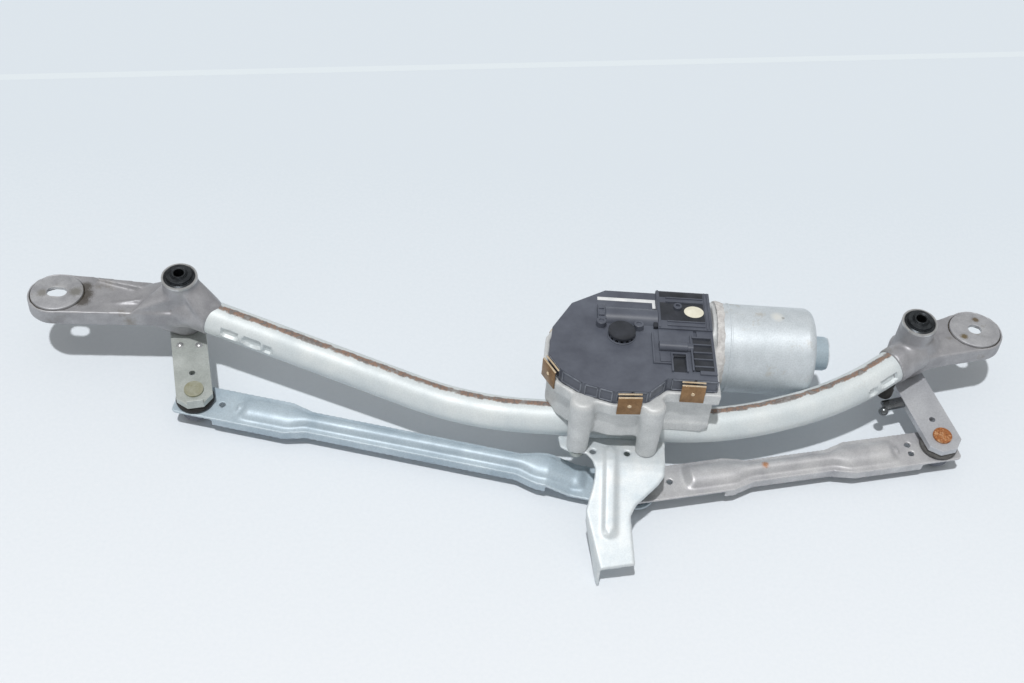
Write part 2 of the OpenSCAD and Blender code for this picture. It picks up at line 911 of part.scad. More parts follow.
// Two screws from below through the bracket into the legs
module bracket_screws() {
    color("gray")
        motor_frame()
            for (p = leg_xy)
                translate([p.x, p.y, bracket_z - bracket_t]) {
                    cylinder(r = screw_r, h = screw_len - 1);
                    translate([0, 0, -screw_head_h])
                        cylinder(r = screw_head_r, h = screw_head_h);
                }
}

// Armature with commutator and worm on one shaft
module armature() {
    color("chocolate")
        can_frame() {
            translate([0, 0, -can_x - wheel_r + 3])
                cylinder(r = rotor_shaft_r, h = can_x + wheel_r - 3 + can_len + nose_len - 2 * can_wall);
            translate([0, 0, -can_x - 20])
                cylinder(r = worm_r, h = 40);
            translate([0, 0, worm_r])
                cylinder(r = commutator_r, h = commutator_h);
            translate([0, 0, magnet_z + 1])
                cylinder(r = can_r - can_wall - magnet_t - 1, h = magnet_len - 2);
        }
}

// Crank with its shaft, gear wheel, nut and rod pin

module output_shaft() {
    color("gray")
        motor_frame()
            translate([0, 0, -crank_t / 2 - nut_h - 1])
                cylinder(r = shaft_r, h = worm_z + wheel_t / 2 + crank_t / 2 + nut_h + 3);
}

module worm_wheel() {
    color("ivory")
        motor_frame()
            translate([0, 0, worm_z - wheel_t / 2])
                ring(wheel_r, shaft_r + seat, wheel_t);
}

module crank() {
    color("silver")
        motor_frame()
            translate([0, 0, -crank_t / 2])
                rotate([0, 0, crank_dir])
                    difference() {
                        linear_extrude(crank_t)
                            strap2d(crank_len, crank_r + 1, crank_r);
                        translate([0, 0, -1])
                            cylinder(r = shaft_r + seat, h = 2 * crank_t);
                        translate([crank_len, 0, -1])
                            cylinder(r = pin_r + seat, h = 2 * crank_t);
                    }
}

module crank_nut() {
    color("gray")
        motor_frame()
            translate([0, 0, -crank_t / 2 - nut_h])
                difference() {
                    cylinder(r = nut_r, h = nut_h, $fn = 6);
                    translate([0, 0, -1])
                        cylinder(r = shaft_r + seat, h = 2 * nut_h);
                }
}

module at_pin() {
    motor_frame()
        rotate([0, 0, crank_dir])
            translate([crank_len, 0, 0])
                children();
}

module rod_pin() {
    color("gray")
        at_pin() {
            translate([0, 0, -pin_reach - clip_h - 0.6])
                cylinder(r = pin_r, h = pin_reach + clip_h + 0.6 + crank_t / 2);
            translate([0, 0, crank_t / 2])
                cylinder(r = pin_r + 2, h = rivet_h);
        }
}

module pin_clip() {
    color("dimgray")
        at_pin()
            translate([0, 0, -pin_reach - clip_h])
                ring(pin_r + 3.4, pin_r + seat, clip_h);
}

// Levers with spindle, ball stud and clip

// Spindle with a knurled head, tapped for the wiper arm's screw
module spindle(pivot) {
    color("dimgray")
        translate([pivot.x, pivot.y, 0])
            difference() {
                union() {
                    translate([0, 0, lever_z])
                        cylinder(r = spindle_r, h = barrel_top + spindle_out - lever_z);
                    translate([0, 0, barrel_top - clip_h])
                        cylinder(r = head_r, h = clip_h + spindle_out);
                }
                translate([0, 0, barrel_top + spindle_out - thread_depth])
                    cylinder(r = thread_r, h = thread_depth + 1);
            }
}

module left_spindle() {
    spindle(left_pivot);
}

module right_spindle() {
    spindle(right_pivot);
}

// Lever plate with chamfered end and the holes for spindle, stud and a pilot pin
module lever(pivot, ball, tab_h) {
    len = norm(ball - pivot);
    end_x = len + lever_half_w;
    cut_off = 0.55 * lever_half_w;
    color("silver")
        translate([pivot.x, pivot.y, lever_z])
            rotate([0, 0, atan2(ball.y - pivot.y, ball.x - pivot.x)]) {
                linear_extrude(lever_t)
                    difference() {
                        union() {
                            circle(lever_half_w + 0.5);
                            polygon([[0, -lever_half_w], [end_x - cut_off, -lever_half_w],
                                [end_x, -lever_half_w + cut_off], [end_x, lever_half_w - cut_off],
                                [end_x - cut_off, lever_half_w], [0, lever_half_w]]);
                        }
                        circle(spindle_r + seat);
                        translate([len, 0])
                            circle(shank_r + seat);
                        translate([len - pilot_back, 0])
                            circle(pilot_r);
                    }
                if (tab_h > 0)
                    translate([end_x - rod_t, -lever_half_w + cut_off, 0])
                        cube([rod_t, 2 * (lever_half_w - cut_off), lever_t + tab_h]);
            }
}

module left_lever() {
    lever(left_pivot, left_ball, 3);
}

module right_lever() {
    lever(right_pivot, right_ball, 0);
}

// Ball, neck, shank and riveted head
module ball_stud(ball) {
    head_r = 6.2;
    color("gray")
        translate([ball.x, ball.y, 0]) {
            translate([0, 0, ball_z])
                sphere(r = ball_r);
            translate([0, 0, ball_z])
                cylinder(r = neck_r, h = lever_z - ball_z);
            translate([0, 0, lever_z])
                cylinder(r = shank_r, h = lever_t);
            translate([0, 0, lever_top])
                cylinder(r = head_r, h = rivet_h);
        }
}

module left_ball_stud() {
    ball_stud(left_ball);
}

module right_ball_stud() {
    ball_stud(right_ball);
}

// Retaining ring on the spindle, inside the barrel rim
module spindle_clip(pivot) {
    color("dimgray")
        translate([pivot.x, pivot.y, barrel_top - 2 * clip_h - seat])
            ring(spindle_r + 1.6, spindle_r + seat, clip_h);
}

module left_spindle_clip() {
    spindle_clip(left_pivot);
}

module right_spindle_clip() {
    spindle_clip(right_pivot);
}

// Rods with sockets, seals and bushes

// Plan outline of a rod of length len, pulled in by inset
module rod2d(len, inset) {
    broad = rod_half_w - inset;
    waist = rod_waist - inset;
    blend = 14;
    corner = 2;
    translate([len, 0])
        circle(broad);
    polygon([[-broad, -broad + corner], [corner - broad, -broad], [rod_end_len, -broad], [rod_end_len + blend, -waist],
        [len - rod_end_len - blend, -waist], [len - rod_end_len, -broad], [len, -broad],
        [len, broad], [len - rod_end_len, broad], [len - rod_end_len - blend, waist],
        [rod_end_len + blend, waist], [rod_end_len, broad], [corner - broad, broad],
        [-broad, broad - corner]]);
}

// A side-view outline across the whole width of a rod
module rod_side(outline) {
    rotate([90, 0, 0])
        translate([0, 0, -2 * rod_half_w])
            linear_extrude(4 * rod_half_w)
                polygon(outline);
}

// Pressed channel rod with pilot holes; its crank end drops by step
module rod(len, step, holes) {
    flat_end = 40;
    drop_start = len - flat_end - 16;
    drop = [[drop_start, rod_top], [len - flat_end, rod_top - step],
        [len + 2 * rod_half_w, rod_top - step]];
    top = concat([[-2 * rod_half_w, rod_top]], drop);
    under = [for (i = [len(top) - 1 : -1 : 0]) top[i] - [0, rod_t]];
    edge_start = rod_half_w + 2;
    bead_start = rod_half_w + 16;
    bead_end = len - rod_end_len - 16;
    difference() {
        union() {
            intersection() {
                linear_extrude(2 * rod_top)
                    rod2d(len, 0);
                rod_side(concat(top, under));
            }
            intersection() {
                linear_extrude(2 * rod_top)
                    difference() {
                        rod2d(len, 0);
                        rod2d(len, rod_t);
                    }
                rod_side([[edge_start, rod_top - rod_edge], [drop_start, rod_top - rod_edge],
                    [drop_start, rod_top], [edge_start, rod_top]]);
            }
            translate([bead_start, 0, rod_top])
                ridge(bead_end - bead_start, bead_r, bead_rise);
        }
        translate([0, 0, -1])
            cylinder(r = socket_r + seat, h = 2 * rod_top);
        translate([len, 0, -1])
            cylinder(r = eye_r + seat, h = 2 * rod_top);
        for (p = holes)
            translate([p.x, p.y, -1])
                cylinder(r = pilot_r, h = 2 * rod_top);
    }
}

module left_rod() {
    color("lightsteelblue")
        rod_frame(left_ball, left_pin)
            rod(norm(left_pin - left_ball), rod_step, [[18, 0]]);
}

module right_rod() {
    color("darkgray")
        rod_frame(right_ball, right_pin) {
            len = norm(right_pin - right_ball);
            rod(len, 0, [[20, 3.5], [20, -3.5], [len - 22, 0]]);
        }
}

// Plastic cup that snaps over a lever's ball
module socket(ball) {
    color("black")
        translate([ball.x, ball.y, 0])
            difference() {
                union() {
                    translate([0, 0, socket_z])
                        cylinder(r = socket_r, h = rod_top - socket_z);
                    translate([0, 0, rod_top])
                        cylinder(r = socket_r + 1.5, h = socket_lip);
                }
                translate([0, 0, ball_z])
                    sphere(r = ball_r + run);
                translate([0, 0, ball_z])
                    cylinder(r = neck_r + 0.8, h = ball_z);
            }
}

module left_socket() {
    socket(left_ball);
}

module right_socket() {
    socket(right_ball);
}

// Rubber dust seal between a socket and its lever
module socket_seal(ball) {
    in_r = neck_r + 0.8;
    out_r = rod_half_w;
    color("black")
        translate([ball.x, ball.y, socket_top])
            rotate_extrude()
                polygon([[in_r, 0], [out_r, 0], [out_r - 0.4, seal_h * 0.5],
                    [out_r - 2, seal_h], [in_r, seal_h]]);
}

module left_socket_seal() {
    socket_seal(left_ball);
}

module right_socket_seal() {
    socket_seal(right_ball);
}

// Plastic bush in a rod's crank end
module rod_bush(pin, z) {
    color("black")
        translate([pin.x, pin.y, z]) {
            ring(eye_r, pin_r + pin_play, eye_h);
            translate([0, 0, eye_h / 2 + rod_t / 2])
                ring(eye_r + 2, eye_r - 1, eye_h / 2 - rod_t / 2);
        }
}

module left_rod_bush() {
    rod_bush(left_pin, left_eye_z);
}

module right_rod_bush() {
    rod_bush(right_pin, right_eye_z);
}

frame_tube();
left_pivot_housing();
right_pivot_housing();
left_ear_ring();
right_ear_ring();
left_ear_disc();
right_ear_disc();
left_spindle_bushes();
right_spindle_bushes();
left_rim_seal();
right_rim_seal();
rubber_buffer();
gear_housing();
cover_gasket();
gear_cover();
cover_cap();
cover_clips();
shaft_bush();
motor_can();
can_sealant();
field_magnets();
brush_plate();
can_bearing();
saddle_rivets();
support_bracket();
bracket_screws();
armature();
output_shaft();
worm_wheel();
crank();
crank_nut();
rod_pin();
pin_clip();
left_spindle();
left_lever();
left_ball_stud();
left_spindle_clip();
right_spindle();
right_lever();
right_ball_stud();
right_spindle_clip();
left_rod();
left_socket();
left_socket_seal();
left_rod_bush();
right_rod();
right_socket();
right_socket_seal();
right_rod_bush();
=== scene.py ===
# A vehicle wiper linkage, dressed for its picture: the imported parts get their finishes, and the shapes
# that the solids leave plain are added to them, in the order in which the linkage is put together.
import json
import math

import bmesh
import bpy
import numpy as np
from mathutils import Matrix, Vector


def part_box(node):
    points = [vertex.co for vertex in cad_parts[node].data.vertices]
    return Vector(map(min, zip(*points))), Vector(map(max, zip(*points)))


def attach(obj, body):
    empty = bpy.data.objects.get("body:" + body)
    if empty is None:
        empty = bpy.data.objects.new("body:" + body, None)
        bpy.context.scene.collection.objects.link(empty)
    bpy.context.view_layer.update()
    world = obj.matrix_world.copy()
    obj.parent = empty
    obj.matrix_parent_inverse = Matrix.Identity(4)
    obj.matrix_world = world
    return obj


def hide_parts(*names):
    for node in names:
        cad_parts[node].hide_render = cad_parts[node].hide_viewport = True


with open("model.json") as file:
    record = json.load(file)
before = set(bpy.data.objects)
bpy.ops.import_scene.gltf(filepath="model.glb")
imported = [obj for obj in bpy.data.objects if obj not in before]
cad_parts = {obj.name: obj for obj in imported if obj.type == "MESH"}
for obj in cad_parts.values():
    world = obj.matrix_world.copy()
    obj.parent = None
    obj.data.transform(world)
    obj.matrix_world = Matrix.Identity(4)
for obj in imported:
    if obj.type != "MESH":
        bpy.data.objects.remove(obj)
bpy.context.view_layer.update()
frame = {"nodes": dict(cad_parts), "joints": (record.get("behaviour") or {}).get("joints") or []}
nodes = frame["nodes"]
scene = bpy.context.scene
scene.view_settings.view_transform = "Standard"
mm = 0.001

# Viewpoint: a hand-held camera with a normal lens, looking down at about fifty degrees and
# rolled a little, so that the spindle line falls to the right.
camera_data = bpy.data.cameras.new("camera")
camera_data.sensor_fit = "HORIZONTAL"
camera_data.sensor_width = 36.0
camera_data.lens = 50.03
camera_data.clip_end = 20.0
camera = bpy.data.objects.new("camera", camera_data)
camera.location = (-0.03466, -0.54667, 0.75498)
camera.rotation_euler = [math.radians(a) for a in (39.870, -3.532, 1.577)]
scene.collection.objects.link(camera)
scene.camera = camera


# Floor: a sheet of matt, very pale blue board under the part, far larger than the view, with a pale edge
# showing across it behind the part. Its paper face has a fine mottle, and is painted darker to the back as a
# painted falloff of the light.
def linear(code):
    """An sRGB hex colour as linear RGBA."""
    values = [int(code[i:i + 2], 16) / 255 for i in (1, 3, 5)]
    return [v / 12.92 if v <= 0.04045 else ((v + 0.055) / 1.055) ** 2.4 for v in values] + [1.0]


def add(tree, kind, inputs=None, **settings):
    """A new node with its settings; an input is a value or the socket that feeds it."""
    made = tree.nodes.new(kind)
    for name, value in settings.items():
        setattr(made, name, value)
    for name, value in (inputs or {}).items():
        if isinstance(value, bpy.types.NodeSocket):
            tree.links.new(value, made.inputs[name])
        else:
            made.inputs[name].default_value = value
    return made


def new_material(name):
    """An empty node material: itself, its tree, its shader and its Object coordinates."""
    material = bpy.data.materials.new(name)
    material.use_nodes = True
    tree = material.node_tree
    tree.nodes.clear()
    shader = add(tree, "ShaderNodeBsdfPrincipled")
    add(tree, "ShaderNodeOutputMaterial", {"Surface": shader.outputs["BSDF"]})
    place = add(tree, "ShaderNodeTexCoord").outputs["Object"]
    return material, tree, shader, place


def paint(ramp, stops):
    """Sets a colour ramp's stops, a list of (position, sRGB hex)."""
    elements = ramp.color_ramp.elements
    while len(elements) < len(stops):
        elements.new(1.0)
    for element, (position, code) in zip(elements, stops):
        element.position = position
        element.color = linear(code)
    return ramp.outputs["Color"]


def link_mesh(name, bm, material):
    """A bmesh as a new object at the origin, smooth where its faces meet softly."""
    mesh = bpy.data.meshes.new(name)
    for face in bm.faces:
        face.smooth = True
    bm.to_mesh(mesh)
    bm.free()
    mesh.set_sharp_from_angle(angle=math.radians(32))
    mesh.materials.append(material)
    made = bpy.data.objects.new(name, mesh)
    scene.collection.objects.link(made)
    return made


board, tree, shader, place = new_material("pale_board")
depth = add(tree, "ShaderNodeSeparateXYZ", {"Vector": place}).outputs["Y"]
grain = add(tree, "ShaderNodeTexNoise", {"Vector": place, "Scale": 1000 / 2.5, "Detail": 3.0})
# Painted light falloff: the board's colour darkens towards the back.
painted_light_falloff = add(tree, "ShaderNodeMapRange", {"Value": depth, "From Min": -0.3, "From Max": 0.35})
mottle_and_light_falloff = add(tree, "ShaderNodeMath", {0: grain.outputs["Fac"], 1: 0.3, 2: painted_light_falloff.outputs["Result"]},
              operation="MULTIPLY_ADD")
tint = add(tree, "ShaderNodeValToRGB", {"Fac": mottle_and_light_falloff.outputs["Value"]})
tree.links.new(paint(tint, [(0.0, "#F2F5F9"), (1.0, "#D9E1E8")]), shader.inputs["Base Color"])
shader.inputs["Roughness"].default_value = 0.9
floor_half = 4.0
edge_size = (6.0, 7 * mm, 0.1 * mm)
edge_turn = math.radians(7.9)
edge_at = (-0.0235, 0.3816, 0.0)
bm = bmesh.new()
bmesh.ops.create_grid(bm, x_segments=1, y_segments=1, size=floor_half)
floor = link_mesh("floor", bm, board)
bm = bmesh.new()
bmesh.ops.create_cube(bm, size=1.0)
bmesh.ops.scale(bm, verts=bm.verts, vec=edge_size)
bmesh.ops.rotate(bm, verts=bm.verts, matrix=Matrix.Rotation(edge_turn, 3, "Z"))
bmesh.ops.translate(bm, verts=bm.verts, vec=edge_at)
board_edge, tree, shader, place = new_material("white_board_edge")
shader.inputs["Base Color"].default_value = linear("#DFE7EC")
shader.inputs["Roughness"].default_value = 0.8
floor_edge = link_mesh("floor_edge", bm, board_edge)

# Light: an overhead lamp a little to the left of the part and before it, and a pale room all round
# that leaves the shadows at a third of the lit board.
sun_data = bpy.data.lights.new("overhead_lamp", "SUN")
sun_data.energy = 2.1
sun_data.angle = math.radians(2.5)
sun = bpy.data.objects.new("overhead_lamp", sun_data)
sun.rotation_euler = Vector((-0.12, -0.15, 0.98)).to_track_quat("Z", "Y").to_euler()
scene.collection.objects.link(sun)
room = bpy.data.worlds.new("pale_room")
scene.world = room
room.use_nodes = True
room.node_tree.nodes["Background"].inputs["Color"].default_value = linear("#F6F6F5")
room.node_tree.nodes["Background"].inputs["Strength"].default_value = 0.42


# Frame tube: a drawn steel tube of 22 mm, galvanised, bent three times and crimped on to the spigots
# of its end castings. Its rolled seam runs along the upper back and has rusted.
def weathered(name, pale, dull, stain, roughness=0.42, metallic=0.45, patch=18, grain=0.9, stained=0.62,
              bump=0.04, edge_wear_and_highlight=None, hollow_dirt_and_shade=None, spots=(), specked=0.9):
    """A metal weathered under a bonnet: cloudy patches of size patch and grain of size grain, in mm,
    with stains over it, edges lightened by wear and painted highlight, hollows darkened by dirt and painted
    shade, and spots of (centre, radius mm, colour, share). The grain darkens the colour down to the share
    specked."""
    material, tree, shader, place = new_material(name)
    cloud = add(tree, "ShaderNodeTexNoise", {"Vector": place, "Scale": 1000 / patch, "Detail": 5.0,
                                             "Roughness": 0.6})
    fine = add(tree, "ShaderNodeTexNoise", {"Vector": place, "Scale": 1000 / grain, "Detail": 3.0})
    blots = add(tree, "ShaderNodeTexNoise", {"Vector": place, "Scale": 1000 / (1.6 * patch), "Detail": 8.0,
                                             "Roughness": 0.72})
    tone = add(tree, "ShaderNodeValToRGB", {"Fac": cloud.outputs["Fac"]})
    colour = paint(tone, [(0.3, dull), (0.68, pale)])
    speck = add(tree, "ShaderNodeMapRange", {"Value": fine.outputs["Fac"], "From Min": 0.3, "From Max": 0.7,
                                             "To Min": specked, "To Max": 1.06})
    colour = add(tree, "ShaderNodeMix", {"Factor": 1.0, "A": colour, "B": speck.outputs["Result"]},
                 data_type="RGBA", blend_type="MULTIPLY").outputs["Result"]
    share = add(tree, "ShaderNodeMapRange", {"Value": blots.outputs["Fac"], "From Min": stained,
                                             "From Max": stained + 0.12, "To Max": 0.7})
    layers = [(share.outputs["Result"], stain)]
    bend = add(tree, "ShaderNodeNewGeometry").outputs["Pointiness"]
    # Hollows, found by pointiness, are darkened: dirt and painted shade.
    if hollow_dirt_and_shade:
        hollow = add(tree, "ShaderNodeMapRange", {"Value": bend, "From Min": 0.485, "From Max": 0.42,
                                                  "To Max": 0.85})
        layers.append((hollow.outputs["Result"], hollow_dirt_and_shade))
    # Convex edges, found by pointiness, are lightened: wear and painted highlight.
    if edge_wear_and_highlight:
        edge = add(tree, "ShaderNodeMapRange", {"Value": bend, "From Min": 0.515, "From Max": 0.6,
                                                "To Max": 0.75})
        layers.append((edge.outputs["Result"], edge_wear_and_highlight))
    for centre, radius, code, strength in spots:
        away = add(tree, "ShaderNodeVectorMath", {0: place, 1: centre}, operation="DISTANCE")
        ragged = add(tree, "ShaderNodeMath", {0: fine.outputs["Fac"], 1: 0.8 * radius * mm,
                                              2: away.outputs["Value"]}, operation="MULTIPLY_ADD")
        inside = add(tree, "ShaderNodeMapRange", {"Value": ragged.outputs["Value"], "To Max": strength,
                                                  "From Min": 1.5 * radius * mm,
                                                  "From Max": 0.9 * radius * mm})
        layers.append((inside.outputs["Result"], code))
    for factor, code in layers:
        colour = add(tree, "ShaderNodeMix", {"Factor": factor, "A": colour, "B": linear(code)},
                     data_type="RGBA").outputs["Result"]
    tree.links.new(colour, shader.inputs["Base Color"])
    gloss = add(tree, "ShaderNodeMapRange", {"Value": cloud.outputs["Fac"], "To Min": roughness + 0.14,
                                             "To Max": roughness - 0.12})
    tree.links.new(gloss.outputs["Result"], shader.inputs["Roughness"])
    relief = add(tree, "ShaderNodeBump", {"Height": fine.outputs["Fac"], "Strength": 0.4,
                                          "Distance": bump * mm})
    tree.links.new(relief.outputs["Normal"], shader.inputs["Normal"])
    shader.inputs["Metallic"].default_value = metallic
    return material


joint_at = {joint["name"]: Vector(joint["pos_m"]) for joint in frame["joints"]}
left_pivot = joint_at["left_lever_turn"]
right_pivot = joint_at["right_lever_turn"]
shaft = joint_at["crank_turn"]
tube_r = 11 * mm
tube_wall = 1.5 * mm
tube_bend = 230 * mm
tube_sides = 80
tube_step = 1.25 * mm
tube_path = [Vector((left_pivot.x + 18 * mm, left_pivot.y - 9.5 * mm, 44 * mm)),
             Vector((shaft.x - 91 * mm, shaft.y - 22.5 * mm, 34 * mm)),
             Vector((shaft.x + 69 * mm, shaft.y - 24 * mm, 34 * mm)),
             Vector((right_pivot.x - 50 * mm, right_pivot.y - 42.5 * mm, 38 * mm)),
             Vector((right_pivot.x - 9 * mm, right_pivot.y - 13 * mm, 44 * mm))]
bm = bmesh.new()
around = bm.verts.layers.float.new("around")
along = bm.verts.layers.float.new("along")
from_seam = bm.verts.layers.float.new("from_seam")
heading = (tube_path[1] - tube_path[0]).normalized()
bmesh.ops.create_circle(bm, segments=tube_sides, radius=tube_r)
for vert in bm.verts:
    vert[around] = math.degrees(math.atan2(vert.co.x, vert.co.y))
bmesh.ops.rotate(bm, verts=bm.verts, matrix=heading.to_track_quat("Z", "Y").to_matrix())
bmesh.ops.translate(bm, verts=bm.verts, vec=tube_path[0])
ring = list(bm.verts) + list(bm.edges)
tube_len = 0.0
start = tube_path[0]
for corner, after in zip(tube_path[1:], tube_path[2:] + [None]):
    turn = (after - corner).angle(heading) if after else 0.0
    tangent = tube_bend * math.tan(turn / 2)
    run = (corner - start).length - tangent
    count = max(1, round(run / tube_step))
    moves = [dict(angle=0.0, dvec=heading * run / count)] * count
    if after:
        axis = heading.cross(after - corner).normalized()
        centre = corner - heading * tangent + axis.cross(heading) * tube_bend
        count = round(turn * tube_bend / tube_step)
        moves += [dict(angle=turn / count, axis=axis, cent=centre)] * count
        heading = (after - corner).normalized()
        start = corner + heading * tangent
    for move in moves:
        ring = bmesh.ops.spin(bm, geom=ring, steps=1, use_duplicate=False, **move)["geom_last"]
        tube_len += move["dvec"].length if "dvec" in move else move["angle"] * tube_bend
        for part in ring:
            if isinstance(part, bmesh.types.BMVert):
                part[along] = tube_len
bmesh.ops.recalc_face_normals(bm, faces=bm.faces)
bm.normal_update()
# Crimps near both ends, as (distance along mm, degrees towards the back, half length, half width, depth)
crimps = [(20, -76, 5.8, 3.4, 2.2), (36, -78, 6.4, 3.4, 2.2), (47, -82, 3.0, 3.2, 1.7),
          (tube_len / mm - 18, -66, 6.4, 3.2, 2.2), (tube_len / mm - 31, -76, 2.8, 3.4, 1.7)]
crimp_steepness = 3.5
# The seam's turn from the top in degrees at both ends, and its height and half width in mm
seam_first, seam_last = 9.0, 20.0
seam_rise, seam_half = 0.25, 1.8
for vert in bm.verts:
    share = vert[along] / tube_len
    off = abs(vert[around] - seam_first - (seam_last - seam_first) * share)
    vert[from_seam] = math.radians(min(off, 360 - off)) * tube_r / mm
    shift = seam_rise * max(0.0, 1 - (vert[from_seam] / seam_half) ** 2)
    for at, turned_by, half_len, half_w, depth in crimps:
        down = (vert[along] / mm - at) / half_len
        across = math.radians(vert[around] - turned_by) * tube_r / mm / half_w
        shift -= depth * min(1.0, crimp_steepness * max(0.0, 1 - down ** 4 - across ** 4))
    vert.co += vert.normal * shift * mm

# Hot-dip galvanised steel: a pale, slightly green grey with soft blotches, and along the seam
# a ragged stripe of rust, brown scale and bare grey.
galvanised = weathered("galvanised_tube", "#E0E5E5", "#CDD5D8", "#B0AC9F", roughness=0.5, metallic=0.15,
                       patch=26, stained=0.66, specked=0.95, bump=0.02)
tree = galvanised.node_tree
shader = next(n for n in tree.nodes if n.type == "BSDF_PRINCIPLED")
place = next(n for n in tree.nodes if n.type == "TEX_COORD").outputs["Object"]
seam = add(tree, "ShaderNodeAttribute", attribute_name="from_seam").outputs["Fac"]
scale_size = 7
scale_patch = add(tree, "ShaderNodeTexNoise", {"Vector": place, "Scale": 1000 / scale_size, "Detail": 7.0,
                                               "Roughness": 0.72})
ragged = add(tree, "ShaderNodeMath", {0: scale_patch.outputs["Fac"], 1: -6.2, 2: seam},
             operation="MULTIPLY_ADD")
share = add(tree, "ShaderNodeMapRange", {"Value": ragged.outputs["Value"], "From Min": -0.4, "From Max": -1.4,
                                         "To Max": 0.9})
rust = add(tree, "ShaderNodeValToRGB", {"Fac": scale_patch.outputs["Fac"]})
rust_colour = paint(rust, [(0.38, "#8F8A86"), (0.45, "#71625B"), (0.5, "#9A7155"), (0.55, "#5F524D"),
                           (0.63, "#8A8480")])
below = shader.inputs["Base Color"].links[0].from_socket
striped = add(tree, "ShaderNodeMix", {"Factor": share.outputs["Result"], "A": below, "B": rust_colour},
              data_type="RGBA")
tree.links.new(striped.outputs["Result"], shader.inputs["Base Color"])
tube = link_mesh("crimped_tube", bm, galvanised)
wall = tube.modifiers.new("wall", "SOLIDIFY")
wall.thickness = tube_wall
wall.offset = -1.0
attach(tube, "frame")
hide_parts("frame_tube")

# Pivot housings: pressure-cast aluminium, one at each end of the tube, with a bored spindle barrel, an ear
# for the body screw and low ribs. The casting's inner corners are full and its edges round.
merge_dist = 0.01 * mm


def eased_copy(name, node, material, voxel, rounds, filled=0.6, rounded=0.22, added=()):
    """A copy of a node's solid, and of bmeshes added to it, with soft edges: remeshed at voxel mm, then
    smoothed over some rounds, by the share filled in hollow corners and the share rounded on edges."""
    bm = bmesh.new()
    bm.from_mesh(nodes[node].data)
    bmesh.ops.remove_doubles(bm, verts=bm.verts, dist=merge_dist)
    made = link_mesh(name, joined([bm, *added]), material)
    remesh = made.modifiers.new("remesh", "REMESH")
    remesh.mode = "VOXEL"
    remesh.voxel_size = voxel * mm
    mesh = bpy.data.meshes.new_from_object(made.evaluated_get(bpy.context.evaluated_depsgraph_get()))
    made.modifiers.clear()
    made.data = mesh
    size = len(mesh.vertices)
    spots = np.empty(3 * size)
    mesh.vertices.foreach_get("co", spots)
    spots = spots.reshape(size, 3)
    ends = np.empty(2 * len(mesh.edges), dtype=np.int32)
    mesh.edges.foreach_get("vertices", ends)
    near, far = np.concatenate([ends.reshape(-1, 2), ends.reshape(-1, 2)[:, ::-1]]).T
    valence = np.bincount(near, minlength=size)
    normals = np.empty(3 * size)
    for _ in range(rounds):
        mesh.vertex_normals.foreach_get("vector", normals)
        middle = np.stack([np.bincount(near, weights=spots[far, k], minlength=size) / valence
                           for k in range(3)], axis=1)
        pull = middle - spots
        hollow = np.sum(pull * normals.reshape(size, 3), axis=1) > 0
        spots += pull * np.where(hollow, filled, rounded)[:, None]
        mesh.vertices.foreach_set("co", spots.ravel())
        mesh.update()
    mesh.shade_smooth()
    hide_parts(node)
    return made


def turned(profile, frame_at=Matrix(), closed=False, steps=48):
    """A bmesh turned from a profile of (radius, height) in mm, set in a frame."""
    bm = bmesh.new()
    verts = [bm.verts.new((r * mm, 0, z * mm)) for r, z in profile]
    edges = [bm.edges.new(pair) for pair in zip(verts, verts[1:] + verts[:1] if closed else verts[1:])]
    bmesh.ops.spin(bm, geom=verts + edges, axis=(0, 0, 1), angle=2 * math.pi, steps=steps, use_merge=True)
    bmesh.ops.remove_doubles(bm, verts=bm.verts, dist=0.001 * mm)
    bmesh.ops.recalc_face_normals(bm, faces=bm.faces)
    bm.transform(frame_at)
    return bm


def joined(parts):
    """Several bmeshes as one."""
    whole = bmesh.new()
    for part in parts:
        mesh = bpy.data.meshes.new("part")
        part.to_mesh(mesh)
        part.free()
        whole.from_mesh(mesh)
        bpy.data.meshes.remove(mesh)
    return whole


# As-cast aluminium: an even, half-matt light grey with fine grain, lighter on its edges where they have
# rubbed and with painted highlight, and darker in its corners with brown dirt and painted shade. Beside the
# left ear a dark crescent is the painted shadow of the raised disc. Its turned faces are bright.
# Painted shadow of the left ear's raised disc: three dark spots in a crescent beside it.
ear_disc_painted_shadow = [((-0.2868, 0.0580, 0.0478), 5.5, "#4B453C", 0.8),
             ((-0.2862, 0.0650, 0.0470), 6.0, "#4B453C", 0.85),
             ((-0.2880, 0.0725, 0.0461), 5.0, "#4B453C", 0.8)]
cast = weathered("cast_aluminium", "#B0B0B3", "#939397", "#7E776B", roughness=0.46, metallic=0.4, patch=14,
                 grain=0.8, stained=0.58, bump=0.1, edge_wear_and_highlight="#D6D6D9", hollow_dirt_and_shade="#5F584D", spots=ear_disc_painted_shadow)
machined = weathered("machined_aluminium", "#D2D3D3", "#B4B5B6", "#908A80", roughness=0.3, metallic=0.7,
                     patch=6)
barrel_r, rim_r, barrel_top = 11.5, 10.1, 70.0


def gusset(pivot, low, high, points):
    """A bmesh drawn tight round some points and the side of a pivot's barrel that faces them, between
    two heights in mm, clear of the bore."""
    bm = bmesh.new()
    towards = sum(points, Vector()) / len(points) - pivot
    facing = math.atan2(towards.y, towards.x)
    for step in range(-4, 5):
        turn = facing + math.radians(11) * step
        x = pivot.x + barrel_r * mm * math.cos(turn)
        y = pivot.y + barrel_r * mm * math.sin(turn)
        for z in (low, high):
            bm.verts.new((x, y, z * mm))
    for point in points:
        bm.verts.new(point)
    bmesh.ops.convex_hull(bm, input=bm.verts)
    bmesh.ops.recalc_face_normals(bm, faces=bm.faces)
    return bm


def collar(end, inner, out, radius):
    """Points of a ring round the tube, out mm from its end towards an inner point."""
    way = (inner - end).normalized()
    at = Matrix.Translation(end + way * out * mm) @ way.to_track_quat("Z", "Y").to_matrix().to_4x4()
    return [at @ Vector((radius * mm * math.cos(a), radius * mm * math.sin(a), 0))
            for a in np.linspace(0, 2 * math.pi, 24, endpoint=False)]


